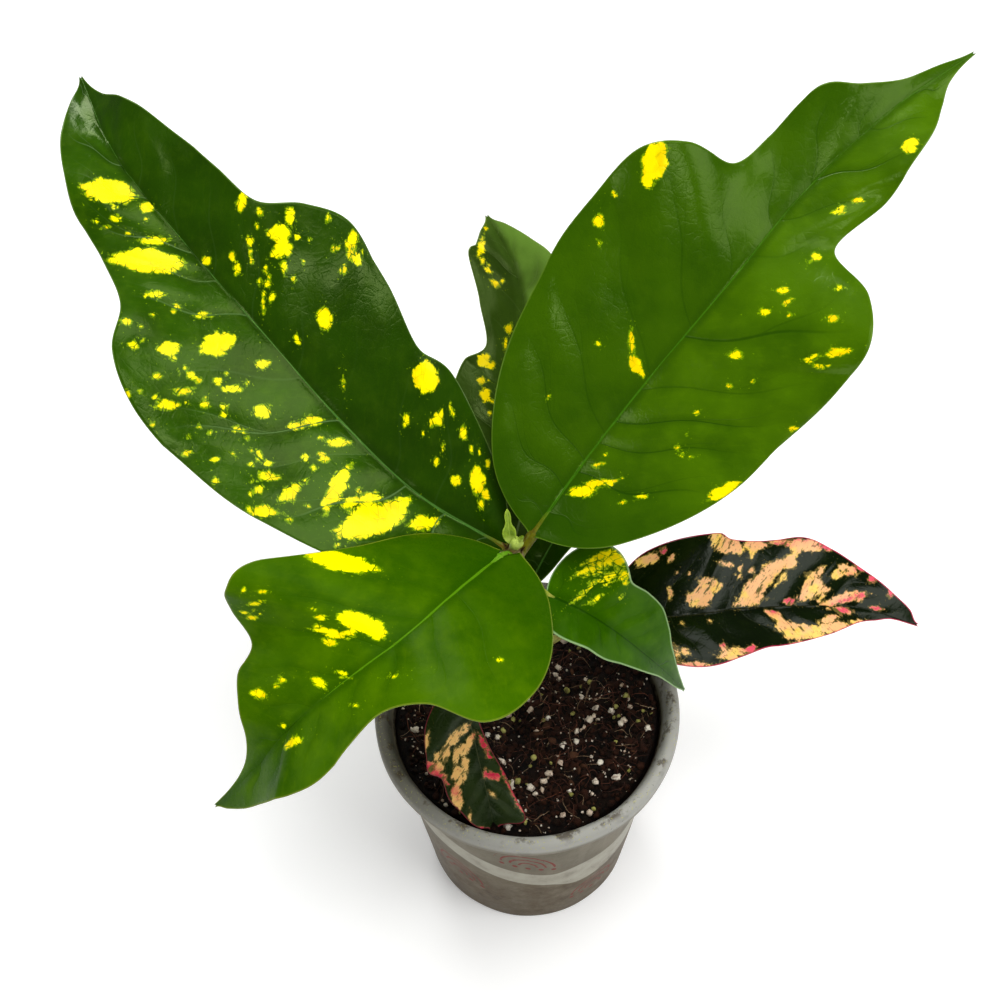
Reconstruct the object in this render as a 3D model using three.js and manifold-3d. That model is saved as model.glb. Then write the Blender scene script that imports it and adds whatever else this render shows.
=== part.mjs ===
// A young croton with broad lobed leaves, growing in a round plastic nursery pot.
// Millimetres, +Z up. The origin is the middle of the pot's underside, +X to the right and +Y to the back.
import * as THREE from "three";
import { mergeVertices } from "three/addons/utils/BufferGeometryUtils.js";
import Module from "manifold-3d";

const wasm = await Module();
wasm.setup();

// Driving dimensions
const seatGap = 0.3;
const bladeThickness = 0.8;

const potHeight = 105;
const potLipRadius = 60;
const potLipHeight = 8;
const potLipBand = 5.3;
const potBaseRadius = 44;
const potWall = 1;
const potSides = 36;
const floorRecess = 3;
const centrePadRadius = 20;
const footRingWidth = 4;
const drainHoleCount = 8;
const drainHoleRadius = 4;
const drainHoleCircle = 30;

const soilLevel = 95;
const soilSeed = 7;
const granuleCount = 26;
const granuleSmallest = 1.2;
const granuleLargest = 2.2;

const stemBottom = 62;
const stemTop = 196.5;
const stemRadiusLow = 4.4;
const stemRadiusHigh = 3.1;
const stemPoints = [[-6, 10, stemBottom], [-6, 10, 107], [-5, 8, 152], [-4, 6, stemTop]];

// Each leaf: the height where its petiole leaves the stem, the petiole's radius, points along the midrib,
// the way that the blade faces at its base and tip, and the half widths [left, right] at even steps
// along the midrib. Half widths are measured along the side veins.
// veinAngles are how far the side veins lean towards the tip: at the base, on the main blade and at the tip.
// fold is how much the two halves rise from the midrib, and wave is the rise and fall of the margin.
const leaves = {
  leaf_back_left: {
    stemHeight: 180,
    petioleRadius: 2,
    midrib: [
      [-8, 13, 190], [-36, 18, 212], [-61, 32, 234], [-85, 49, 258], [-109, 69, 278], [-132, 92, 296],
      [-148, 124, 305],
    ],
    facing: [[0.1, -0.5, 0.86], [0.05, -0.55, 0.83]],
    halfWidths: [
      [2, 2], [15, 23], [37, 43], [51, 42], [57, 51], [59, 57], [53, 49], [39, 36], [34, 34], [32, 32],
      [25, 28], [18, 19], [11, 8], [1, 1],
    ],
    veinAngles: [-45, 32, 60],
    fold: [0.2, 0.06],
    wave: { height: 2.2, count: 3.2, phase: 0.4 },
    rows: 28,
    colour: "#2f5a0a",
  },
  leaf_back_right: {
    stemHeight: 189,
    petioleRadius: 2,
    midrib: [
      [3, 12, 199], [23, 31, 219], [45, 48, 242], [68, 64, 265], [91, 85, 283], [118, 103, 301],
      [147, 120, 312],
    ],
    facing: [[-0.1, -0.5, 0.86], [-0.05, -0.55, 0.83]],
    halfWidths: [
      [2, 2], [27, 27], [49, 51], [60, 58], [63, 62], [63, 61], [51, 49], [32, 28], [29, 34], [31, 30],
      [19, 25], [10, 16], [6, 6], [1, 1],
    ],
    veinAngles: [-50, 32, 60],
    fold: [0.2, 0.06],
    wave: { height: 2.2, count: 3, phase: 0.1 },
    rows: 28,
    colour: "#345f08",
  },
  leaf_front_left: {
    stemHeight: 193,
    petioleRadius: 1.9,
    midrib: [
      [-9, 1, 199], [-22, -18, 207], [-38, -37, 209], [-56, -49, 203], [-74, -58, 190], [-89, -64, 171],
      [-104, -66, 152],
    ],
    facing: [[0.05, -0.15, 0.98], [-0.3, -0.35, 0.88]],
    halfWidths: [
      [8, 4], [26, 22], [47, 36], [46, 60], [28, 60], [21, 52], [24, 38], [28, 34], [26, 25], [21, 16],
      [16, 10], [12, 5], [7, 2], [1, 1],
    ],
    veinAngles: [-60, 32, 60],
    fold: [0.1, 0.05],
    wave: { height: 2, count: 2.6, phase: 0.6 },
    rows: 28,
    colour: "#47800a",
  },
  leaf_front_right: {
    stemHeight: 170,
    petioleRadius: 1.5,
    midrib: [[8, -4, 184], [20, -9, 181], [32, -10, 169], [43, -9, 153], [52, -6, 136], [60, -2, 118]],
    facing: [[0.1, -0.4, 0.9], [0.35, -0.6, 0.7]],
    halfWidths: [
      [2, 5], [24, 12], [20, 13], [22, 13], [22, 11], [18, 9], [13, 7], [10, 5], [7, 4], [4, 3], [1, 1],
    ],
    veinAngles: [-55, 32, 60],
    fold: [0.12, 0.02],
    wave: { height: 1, count: 2, phase: 0 },
    rows: 22,
    colour: "#2f5f08",
  },
  leaf_back: {
    stemHeight: 175,
    petioleRadius: 1.6,
    midrib: [[-4, 18, 184], [1, 42, 191], [3, 63, 204], [1, 83, 219], [-2, 104, 233], [-13, 122, 246]],
    facing: [[0, -0.5, 0.86], [0, -0.6, 0.8]],
    halfWidths: [
      [2, 2], [20, 15], [38, 29], [36, 29], [31, 22], [20, 12], [22, 15], [28, 20], [19, 14], [10, 8],
      [1, 1],
    ],
    veinAngles: [-40, 32, 60],
    fold: [0.12, 0.28],
    wave: { height: 1.2, count: 2.5, phase: 0.2 },
    rows: 24,
    colour: "#33480c",
  },
  leaf_low_right: {
    stemHeight: 111,
    petioleRadius: 1.6,
    petioleBend: [8, 22, 120],
    midrib: [[34, 27, 127], [58, 24, 129], [83, 28, 128], [108, 32, 124], [132, 35, 119], [156, 31, 112]],
    facing: [[0.05, -0.35, 0.93], [0.15, -0.4, 0.9]],
    halfWidths: [
      [1, 1], [26, 14], [37, 23], [33, 23], [32, 21], [35, 20], [31, 18], [26, 15], [20, 11], [14, 7],
      [9, 2], [1, 1],
    ],
    veinAngles: [-55, 32, 60],
    fold: [0.12, 0.06],
    wave: { height: 1.2, count: 3, phase: 0.3 },
    rows: 26,
    colour: "#1c2a0c",
  },
  leaf_low_front: {
    stemHeight: 106,
    petioleRadius: 1.3,
    petioleBend: [-14, -1, 132],
    midrib: [[-26, -8, 131], [-21, -20, 124], [-18, -30, 115], [-15, -40, 107], [-13, -48, 101]],
    facing: [[0.1, -0.6, 0.8], [0.1, -0.3, 0.95]],
    halfWidths: [[1, 1], [4, 18], [4, 23], [6, 18], [10, 18], [13, 15], [17, 12], [9, 8], [3, 3]],
    veinAngles: [-40, 28, 55],
    fold: [0.15, 0.05],
    wave: { height: 0.8, count: 2, phase: 0.5 },
    rows: 18,
    colour: "#24330f",
  },
  leaf_hidden: {
    stemHeight: 157,
    petioleRadius: 1.4,
    midrib: [[2, 17, 163], [12, 33, 170], [26, 49, 176], [40, 66, 178], [53, 82, 173]],
    facing: [[0, -0.3, 0.95], [0, -0.3, 0.95]],
    halfWidths: [[5, 3], [14, 6], [17, 11], [17, 15], [14, 15], [12, 12], [9, 10], [5, 6], [1, 1]],
    veinAngles: [-60, 32, 60],
    fold: [0.12, 0.06],
    wave: { height: 1, count: 2, phase: 0.2 },
    rows: 18,
    colour: "#27400c",
  },
};

const youngLeaf = {
  midrib: [[-4.6, 6.4, 199.5], [-5.2, 7.3, 202.5], [-5.7, 9.5, 206.5], [-6.1, 12.4, 211]],
  facing: [[0.1, -0.8, 0.6], [0.1, -0.8, 0.6]],
  halfWidths: [[1, 1], [0.8, 0.8], [2.2, 2], [2.5, 2.4], [1.5, 1.4], [1, 1], [0.5, 0.5]],
  veinAngles: [-10, 20, 30],
  fold: [0.3, 0.1],
  wave: { height: 0.2, count: 2, phase: 0 },
  rows: 10,
};
const budCentre = [-3.2, 6.6, 199.6];
const budRadii = [2.5, 2.3, 2.7];
const budHook = [[-2.6, 6.6, 200.4], [-1.6, 6.3, 202], [-1.4, 5.9, 203.4]];

const root = new THREE.Group();

const toPoint = ([x, y, z]) => new THREE.Vector3(x, y, z);
const mix = THREE.MathUtils.lerp;
const radians = THREE.MathUtils.degToRad;

// A repeatable source of numbers between 0 and 1
function seededNumbers(seed) {
  let state = seed;
  return () => {
    state = (state * 16807) % 2147483647;
    return state / 2147483647;
  };
}

// Solids, joined and cut
function toSolid(geometry) {
  const bare = geometry.clone();
  bare.deleteAttribute("normal");
  bare.deleteAttribute("uv");
  const merged = mergeVertices(bare, 1e-4);
  const vertProperties = new Float32Array(merged.attributes.position.array);
  const triVerts = new Uint32Array(merged.index.array);
  return new wasm.Manifold(new wasm.Mesh({ numProp: 3, vertProperties, triVerts }));
}

function toGeometry(solid) {
  const mesh = solid.getMesh();
  const geometry = new THREE.BufferGeometry();
  geometry.setAttribute("position", new THREE.BufferAttribute(mesh.vertProperties, 3));
  geometry.setIndex(new THREE.BufferAttribute(mesh.triVerts, 1));
  return geometry;
}

function indexedGeometry(points, triangles) {
  const geometry = new THREE.BufferGeometry();
  geometry.setFromPoints(points);
  geometry.setIndex(triangles);
  return geometry;
}

// A closed skin over rings of equally many points, each ring turning anticlockwise seen from the last one,
// with a middle point closing either end
function skinRings(firstMiddle, rings, lastMiddle) {
  const count = rings[0].length;
  const points = [firstMiddle, ...rings.flat(), lastMiddle];
  const last = points.length - 1;
  const triangles = [];
  for (let i = 0; i < count; i += 1) {
    const j = (i + 1) % count;
    triangles.push(0, 1 + j, 1 + i);
    for (let ring = 0; ring < rings.length - 1; ring += 1) {
      const low = 1 + ring * count;
      const high = low + count;
      triangles.push(low + i, low + j, high + j, low + i, high + j, high + i);
    }
    const top = 1 + (rings.length - 1) * count;
    triangles.push(last, top + i, top + j);
  }
  return indexedGeometry(points, triangles);
}

// A tapered tube: stations are { centre, radius }, and up keeps its sections from turning
function taperedTube(stations, up, sides) {
  const rings = stations.map(({ centre, radius }, k) => {
    const before = stations[Math.max(k - 1, 0)].centre;
    const after = stations[Math.min(k + 1, stations.length - 1)].centre;
    const along = after.clone().sub(before).normalize();
    const across = along.clone().cross(up).normalize();
    const over = across.clone().cross(along);
    return Array.from({ length: sides }, (_, i) => {
      const turn = (2 * Math.PI * i) / sides;
      const reach = across.clone().multiplyScalar(-Math.cos(turn)).addScaledVector(over, Math.sin(turn));
      return centre.clone().addScaledVector(reach, radius);
    });
  });
  return skinRings(stations[0].centre, rings, stations.at(-1).centre);
}

// The stem, thicker at its foot and swollen a little where each leaf leaves it
const stemCurve = new THREE.CatmullRomCurve3(stemPoints.map(toPoint), false, "catmullrom");

function stemStations(extra) {
  const steps = 25;
  const swelling = 0.5;
  const swellingSpread = 2.5;
  return Array.from({ length: steps + 1 }, (_, k) => {
    const centre = stemCurve.getPoint(k / steps);
    const share = (centre.z - stemBottom) / (stemTop - stemBottom);
    const swollen = Object.values(leaves).map((leaf) => {
      const away = (centre.z - leaf.stemHeight) / swellingSpread;
      return Math.exp(-away * away);
    });
    const radius = mix(stemRadiusLow, stemRadiusHigh, share) + swelling * Math.max(...swollen) + extra;
    return { centre, radius };
  });
}

function stemGeometry(extra = 0) {
  const stations = stemStations(extra);
  stations[0].centre.z -= extra;
  stations.at(-1).centre.z += extra;
  return taperedTube(stations, new THREE.Vector3(0, 1, 0), 10);
}

function stemPointAt(height) {
  const share = (height - stemBottom) / (stemTop - stemBottom);
  const { x, y } = stemCurve.getPoint(share);
  return new THREE.Vector3(x, y, height);
}

const stemRoom = toSolid(stemGeometry(seatGap));

// Leaf blades
function bladeCurves(leaf) {
  return {
    midrib: new THREE.CatmullRomCurve3(leaf.midrib.map(toPoint), false, "catmullrom"),
    width: new THREE.SplineCurve(leaf.halfWidths.map(([left, right]) => new THREE.Vector2(left, right))),
  };
}

function bladeFrame(leaf, curves, share) {
  const step = 1e-3;
  const middle = curves.midrib.getPoint(share);
  const ahead = curves.midrib.getPoint(Math.min(share + step, 1));
  const behind = curves.midrib.getPoint(Math.max(share - step, 0));
  const along = ahead.sub(behind).normalize();
  const face = toPoint(leaf.facing[0]).lerp(toPoint(leaf.facing[1]), share);
  face.addScaledVector(along, -face.dot(along)).normalize();
  return { middle, along, face, across: along.clone().cross(face) };
}

// Side veins lean back round the base of the blade, and ever more forward to its tip
function veinAngle(leaf, share) {
  const baseShare = 0.22;
  const [base, main, tip] = leaf.veinAngles;
  if (share < baseShare) {
    return radians(mix(base, main, 1 - (1 - share / baseShare) ** 2));
  }
  return radians(mix(main, tip, (share - baseShare) / (1 - baseShare)));
}

// A point of the blade: share runs from its base to its tip, and spread from -1 at the left margin to 1
function bladePoint(leaf, curves, share, spread) {
  const { middle, along, face, across } = bladeFrame(leaf, curves, share);
  const side = Math.sign(spread);
  const out = Math.abs(spread);
  const widths = curves.width.getPoint(share);
  const width = side < 0 ? widths.x : widths.y;
  const angle = veinAngle(leaf, share);
  const rise = width * mix(...leaf.fold, share) * (1.5 * out - 0.5 * out * out);
  const { height, count, phase } = leaf.wave;
  const fullRippleWidth = 20;
  const ripple = height * Math.sin(2 * Math.PI * (count * share + phase * side));
  const rippleHere = ripple * out * out * Math.min(width / fullRippleWidth, 1);
  return middle
    .addScaledVector(across, side * width * out * Math.cos(angle))
    .addScaledVector(along, width * out * Math.sin(angle))
    .addScaledVector(face, rise + rippleHere);
}

// The blade as a thin sheet of even thickness, its two faces split into triangles alike
function bladeGeometry(leaf, curves, columns) {
  const step = 1e-3;
  const upper = [];
  const lower = [];
  for (let row = 0; row <= leaf.rows; row += 1) {
    const share = row / leaf.rows;
    for (let column = 0; column <= columns; column += 1) {
      const spread = -1 + (2 * column) / columns;
      const at = (ds, dv) => {
        const s = THREE.MathUtils.clamp(share + ds, 0, 1);
        const v = THREE.MathUtils.clamp(spread + dv, -1, 1);
        return bladePoint(leaf, curves, s, v);
      };
      const alongBlade = at(step, 0).sub(at(-step, 0));
      const acrossBlade = at(0, step).sub(at(0, -step));
      const normal = acrossBlade.cross(alongBlade).normalize();
      upper.push(at(0, 0).addScaledVector(normal, bladeThickness / 2));
      lower.push(at(0, 0).addScaledVector(normal, -bladeThickness / 2));
    }
  }
  const width = columns + 1;
  const below = upper.length;
  const triangles = [];
  for (let row = 0; row < leaf.rows; row += 1) {
    for (let column = 0; column < columns; column += 1) {
      const a = row * width + column;
      const b = a + 1;
      const c = b + width;
      const d = a + width;
      triangles.push(a, b, c, a, c, d);
      triangles.push(below + a, below + c, below + b, below + a, below + d, below + c);
    }
  }
  const rim = [];
  for (let column = 0; column < columns; column += 1) rim.push(column);
  for (let row = 0; row < leaf.rows; row += 1) rim.push(row * width + columns);
  for (let column = columns; column > 0; column -= 1) rim.push(leaf.rows * width + column);
  for (let row = leaf.rows; row > 0; row -= 1) rim.push(row * width);
  rim.forEach((a, k) => {
    const b = rim[(k + 1) % rim.length];
    triangles.push(a, below + a, below + b, a, below + b, b);
  });
  return indexedGeometry([...upper, ...lower], triangles);
}

// The petiole, carried on as the midrib that stands out under the blade
function midribGeometry(leaf, curves) {
  const petioleSteps = 4;
  const ribSteps = 9;
  const ribEnd = 0.85;
  const ribEndRadius = 0.7;
  const sunk = 0.6;
  const stations = [];
  const base = bladeFrame(leaf, curves, 0);
  const foot = stemPointAt(leaf.stemHeight);
  const joint = base.middle.clone().addScaledVector(base.face, -sunk * leaf.petioleRadius);
  const reach = foot.distanceTo(joint);
  const straightOn = joint.clone().addScaledVector(base.along, -reach / 2);
  const bend = leaf.petioleBend ? toPoint(leaf.petioleBend) : straightOn;
  const petiole = new THREE.QuadraticBezierCurve3(foot, bend, joint);
  for (let k = 0; k < petioleSteps; k += 1) {
    stations.push({ centre: petiole.getPoint(k / petioleSteps), radius: leaf.petioleRadius });
  }
  for (let k = 0; k <= ribSteps; k += 1) {
    const { middle, face } = bladeFrame(leaf, curves, (ribEnd * k) / ribSteps);
    const radius = mix(leaf.petioleRadius, ribEndRadius, Math.sqrt(k / ribSteps));
    stations.push({ centre: middle.addScaledVector(face, -sunk * radius), radius });
  }
  return taperedTube(stations, base.face, 6);
}

function leafGeometry(leaf) {
  const curves = bladeCurves(leaf);
  const blade = toSolid(bladeGeometry(leaf, curves, 6));
  const midrib = toSolid(midribGeometry(leaf, curves));
  return toGeometry(blade.add(midrib).subtract(stemRoom));
}

// The shoot: the youngest leaf, its bud and the curved tip of the next leaf
function shootGeometry() {
  const curves = bladeCurves(youngLeaf);
  const blade = toSolid(bladeGeometry(youngLeaf, curves, 4));
  const bud = new THREE.SphereGeometry(1, 12, 8);
  bud.scale(...budRadii);
  bud.translate(...budCentre);
  const hookRadii = [1.1, 0.8, 0.4];
  const hookStations = budHook.map((centre, k) => ({ centre: toPoint(centre), radius: hookRadii[k] }));
  const hook = toSolid(taperedTube(hookStations, new THREE.Vector3(0, 1, 0), 6));
  return toGeometry(toSolid(bud).add(blade).add(hook).subtract(stemRoom));
}

// The pot: a thin wall that widens upwards, a lip turned out and down, and a floor that stands on
// its foot ring and on a middle pad, with drain holes in the recess between them
const lipUnderside = potHeight - potLipHeight;
const lipInnerRadius = potLipRadius - potLipBand;
const wallTopRadius = lipInnerRadius - 2.1;

const recessSlope = 2;
const footInner = potBaseRadius - footRingWidth;
const padTop = 1.2 * potWall;
const recessTop = floorRecess + 1.1 * potWall;
const wallFootRadius = potBaseRadius - 0.9 * potWall;
const wallFootHeight = padTop + 1;

function potProfile() {
  const underside = [
    [0, 0],
    [centrePadRadius, 0],
    [centrePadRadius + recessSlope, floorRecess],
    [footInner - recessSlope, floorRecess],
    [footInner, 0],
    [potBaseRadius - 0.8, 0],
  ];
  const wallOutside = [
    [potBaseRadius, 1],
    [wallTopRadius + potWall, lipUnderside - 1],
  ];
  const lipFromBelow = [
    [lipInnerRadius + 0.9, potHeight - 3.8],
    [lipInnerRadius + 2.3, potHeight - 1.1],
    [potLipRadius - 1.2, potHeight - 2],
    [potLipRadius - 1.1, lipUnderside],
    [potLipRadius - 0.1, lipUnderside],
  ];
  const lipFromAbove = [
    [potLipRadius, potHeight - 2.5],
    [potLipRadius - 0.7, potHeight - 0.7],
    [potLipRadius - 2, potHeight],
    [potLipRadius - 3.4, potHeight - 0.1],
    [lipInnerRadius + 0.5, potHeight - 1.4],
    [lipInnerRadius - 0.1, potHeight - 2.8],
  ];
  const inside = [
    [wallTopRadius, lipUnderside - 0.5],
    [wallFootRadius, wallFootHeight],
    [wallFootRadius - 0.5, padTop],
    [footInner + 1.2, padTop],
    [footInner - 1.1, recessTop],
    [centrePadRadius + 1.1, recessTop],
    [centrePadRadius - 1, padTop],
    [0, padTop],
  ];
  const profile = [...underside, ...wallOutside, ...lipFromBelow, ...lipFromAbove, ...inside];
  return profile.map(([radius, height]) => new THREE.Vector2(radius, height));
}

function potGeometry() {
  const body = new THREE.LatheGeometry(potProfile(), potSides);
  body.rotateX(Math.PI / 2);
  let solid = toSolid(body);
  for (let k = 0; k < drainHoleCount; k += 1) {
    const turn = (2 * Math.PI * (k + 0.5)) / drainHoleCount;
    const hole = new THREE.CylinderGeometry(drainHoleRadius, drainHoleRadius, 4 * potWall, 8);
    hole.rotateX(Math.PI / 2);
    hole.translate(drainHoleCircle * Math.cos(turn), drainHoleCircle * Math.sin(turn), floorRecess);
    solid = solid.subtract(toSolid(hole));
  }
  return toGeometry(solid);
}

// The soil: it fills the pot with a small gap, with an uneven top and granules half sunk in it
function potInnerRadius(height) {
  const share = (height - wallFootHeight) / (lipUnderside - 0.5 - wallFootHeight);
  return mix(wallFootRadius, wallTopRadius, share);
}

function soilHeightAt(x, y) {
  const swell = 0.7 * Math.sin(x / 9 + 1) * Math.cos(y / 11);
  const crumbs = 0.5 * Math.sin(x / 2.7 + y / 4.1) * Math.cos(y / 3.1 - x / 6.3);
  return soilLevel + swell + crumbs;
}

function soilGeometry() {
  const lowest = padTop + seatGap;
  const overRecess = recessTop + seatGap;
  const underside = [
    [centrePadRadius - 1.4, lowest],
    [centrePadRadius + 0.7, overRecess],
    [footInner - 0.7, overRecess],
    [footInner + 1.6, lowest],
    [wallFootRadius - 1, lowest],
    [potInnerRadius(wallFootHeight + 0.4) - seatGap, wallFootHeight + 0.4],
  ];
  const wallHeight = soilLevel - 1.6;
  const topRadius = potInnerRadius(wallHeight) - seatGap;
  const topRings = 7;
  const ringAt = (radius, heightAt) =>
    Array.from({ length: potSides }, (_, i) => {
      const turn = (2 * Math.PI * i) / potSides;
      const x = radius * Math.cos(turn);
      const y = radius * Math.sin(turn);
      return new THREE.Vector3(x, y, heightAt(x, y));
    });
  const rings = underside.map(([radius, height]) => ringAt(radius, () => height));
  rings.push(ringAt(topRadius, () => wallHeight));
  for (let k = topRings; k > 0; k -= 1) {
    rings.push(ringAt((topRadius * k) / (topRings + 0.3), soilHeightAt));
  }
  const middleTop = new THREE.Vector3(0, 0, soilHeightAt(0, 0));
  let soil = toSolid(skinRings(new THREE.Vector3(0, 0, lowest), rings, middleTop));
  const random = seededNumbers(soilSeed);
  for (let k = 0; k < granuleCount; k += 1) {
    const turn = 2 * Math.PI * random();
    const distance = (topRadius - 4) * Math.sqrt(random());
    const size = mix(granuleSmallest, granuleLargest, random());
    const granule = new THREE.IcosahedronGeometry(size, 0);
    granule.rotateX(6 * random());
    granule.rotateZ(6 * random());
    const x = distance * Math.cos(turn);
    const y = distance * Math.sin(turn);
    granule.translate(x, y, soilHeightAt(x, y) + 0.2 * size);
    soil = soil.add(toSolid(granule));
  }
  return toGeometry(soil.subtract(stemRoom));
}

function addPiece(name, geometry, colour, roughness) {
  const material = new THREE.MeshStandardMaterial({ color: colour, roughness, metalness: 0 });
  const mesh = new THREE.Mesh(geometry, material);
  mesh.name = name;
  root.add(mesh);
}

addPiece("pot", potGeometry(), "#82827d", 0.5);
addPiece("soil", soilGeometry(), "#1e140f", 0.95);
addPiece("stem", stemGeometry(), "#6b6a3a", 0.8);
for (const [name, leaf] of Object.entries(leaves)) {
  addPiece(name, leafGeometry(leaf), leaf.colour, 0.3);
}
addPiece("shoot", shootGeometry(), "#a9bf3c", 0.4);

export default root;
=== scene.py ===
import math

import bmesh
import bpy
import numpy as np
from mathutils import Matrix, Vector


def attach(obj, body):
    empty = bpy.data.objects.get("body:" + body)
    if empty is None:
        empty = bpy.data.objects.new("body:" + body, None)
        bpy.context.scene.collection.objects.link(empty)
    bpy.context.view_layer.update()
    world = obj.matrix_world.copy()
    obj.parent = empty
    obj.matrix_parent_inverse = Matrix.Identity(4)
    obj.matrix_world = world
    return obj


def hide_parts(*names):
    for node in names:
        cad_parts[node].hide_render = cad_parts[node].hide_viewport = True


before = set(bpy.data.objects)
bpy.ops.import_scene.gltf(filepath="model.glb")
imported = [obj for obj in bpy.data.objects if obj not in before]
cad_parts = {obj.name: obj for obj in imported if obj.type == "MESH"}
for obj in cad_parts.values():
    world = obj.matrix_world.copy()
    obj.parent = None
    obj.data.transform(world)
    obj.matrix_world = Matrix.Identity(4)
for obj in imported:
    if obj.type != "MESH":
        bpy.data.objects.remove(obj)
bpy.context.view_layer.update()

# A young croton in a grey nursery pot. Sizes are in millimetres as in the solids, and MM makes them metres.
MM = 0.001
SEED = 11

# The pot, soil and stem, with the solids' own values
POT_HEIGHT = 105
LIP_RADIUS = 60
LIP_INNER = 54.7
LIP_UNDERSIDE = 97
WALL = 1
WALL_TOP = 52.6
WALL_FOOT = 43.1
BASE_RADIUS = 44
FOOT_INNER = 40
PAD_RADIUS = 20
PAD_TOP = 1.2
RECESS = 3
RECESS_TOP = 4.1
DRAIN_HOLES = 8
DRAIN_RADIUS = 4
DRAIN_CIRCLE = 30
SOIL_LEVEL = 95
BED_REACH = 50.5
SEAT_GAP = 0.3
STEM_FOOT = (-6, 10)
STEM_BOTTOM = 62
STEM_TOP = 196.5
STEM_POINTS = [[*STEM_FOOT, STEM_BOTTOM], [*STEM_FOOT, 107], [-5, 8, 152], [-4, 6, STEM_TOP]]
STEM_RADII = (4.4, 3.1)
STEM_ROOM = 0.2

# The shares of the midrib where the main side veins leave it, left and right, in the smaller leaves
SEVEN_VEINS = ([0.08, 0.2, 0.33, 0.46, 0.59, 0.72, 0.85], [0.1, 0.22, 0.35, 0.48, 0.61, 0.74, 0.87])
NINE_VEINS = ([0.06, 0.15, 0.25, 0.35, 0.46, 0.57, 0.68, 0.79, 0.89],
              [0.08, 0.18, 0.29, 0.4, 0.51, 0.62, 0.73, 0.84, 0.93])
LEAVES = {}


def add_leaf(name, slot, looks, **given):
    """A leaf's shape, as in the solids, and its markings. What is given here is what most leaves share."""
    usual = dict(bend=None, rib=(0.6, 1.3), sides=(1, 1), flecks=(), blush=())
    LEAVES[name] = usual | given | dict(slot=slot, looks=looks)


# From the solids come the height where the leaf leaves the stem, its petiole and the petiole's bend, and the
# midrib, facing, half widths, vein angles, fold and wave. The rest is given here, in millimetres along
# and across the flat blade:
# rib is how wide the midrib shows above, against its petiole, and the share of the blade where it fades,
# sides is how strong the side veins are on the left and the right,
# marks are the coloured patches and blush their red parts: along, across, half length, half width and turn,
# flecks are the places strewn with small patches: along, across, reach along, reach across and how many,
# and grid is how finely the blade is built.
add_leaf(
    "leaf_back_left", "leaf_green", "green",
    stem_height=180, petiole=2, sides=(1, 0.12),
    midrib=[[-8, 13, 190], [-36, 18, 212], [-61, 32, 234], [-85, 49, 258], [-109, 69, 278],
            [-132, 92, 296], [-148, 124, 305]],
    facing=[[0.1, -0.5, 0.86], [0.05, -0.55, 0.83]],
    widths=[[2, 2], [15, 23], [37, 43], [51, 42], [57, 51], [59, 57], [53, 49], [39, 36], [34, 34],
            [32, 32], [25, 28], [18, 19], [11, 8], [1, 1]],
    angles=[-45, 32, 60], fold=[0.2, 0.06], wave=[2.2, 3.2, 0.4], grid=(220, 120),
    veins=([0.04, 0.11, 0.19, 0.27, 0.33, 0.42, 0.53, 0.6, 0.66, 0.75, 0.82, 0.89],
           [0.05, 0.13, 0.22, 0.33, 0.43, 0.52, 0.61, 0.69, 0.77, 0.85, 0.92]),
    marks=[
        (176, -8, 9, 4, -45), (165, -2, 2.5, 2, -60), (155, -7, 4.5, 1.5, -55), (151, -13, 12, 4, -45),
        (141, -18, 3, 1, -50), (127, -11, 2.5, 1, -50), (117, -14, 6, 4, -70), (125, -27, 3.5, 2.5, -55),
        (103, -7, 2.5, 1.5, -50), (113, -32, 3, 1, -50), (113, -38, 3.5, 1.5, -50), (92, -17, 3, 2, -50),
        (79, -7, 3.5, 1.5, -50), (68, -6, 4, 1.5, -45), (76, -30, 3, 1, -45), (69, -29, 4.5, 1.5, -75),
        (72, -39, 4.5, 1.5, -45), (59, -17, 9, 2.5, 85), (53, -17, 4, 1.5, -60), (49, -12, 4.5, 2, -45),
        (45, -17, 13.5, 4.5, -55), (40, -8, 5.5, 2.5, -65), (30, -7, 6.5, 2.5, -40),
        (146, 23, 3.5, 1.5, 60), (140, 25, 1.5, 1, 45), (133, 31, 3, 1.5, 40), (125, 40, 1.5, 1, 40),
        (131, 25, 3.5, 2.5, -55), (127, 23, 3.5, 2.5, 45), (114, 42, 3, 2, 40), (108, 39, 2, 2, 0),
        (135, 9, 1.5, 1, 40), (140, 2, 1.5, 1.5, 0), (117, 6, 2.5, 0.5, 40), (122, 19, 2, 1, 40),
        (101, 18, 4, 2.5, 40), (102, 7, 1.5, 1, 0), (81, 9, 2, 0.5, 40), (61, 31, 6, 5, -25),
        (47, 24, 3, 2, 85), (43, 29, 1.5, 1, 50), (35, 26, 2.5, 1.5, 50), (21, 15, 5, 3, 55),
        (28, 11, 2, 2, 0), (20, 22, 2, 1, 60), (15, 12, 2, 1.5, 20),
    ],
    flecks=[(166, -12, 4, 6, 6), (138, -25, 4, 7, 9), (118, -36, 5, 7, 10), (112, -20, 8, 5, 9),
            (92, -34, 13, 8, 22), (74, -25, 7, 12, 14), (60, -21, 7, 7, 12), (128, 28, 8, 11, 14),
            (110, 38, 6, 5, 8), (121, 9, 8, 3, 7), (46, 22, 8, 7, 10), (22, 16, 5, 6, 6)],
)
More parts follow.
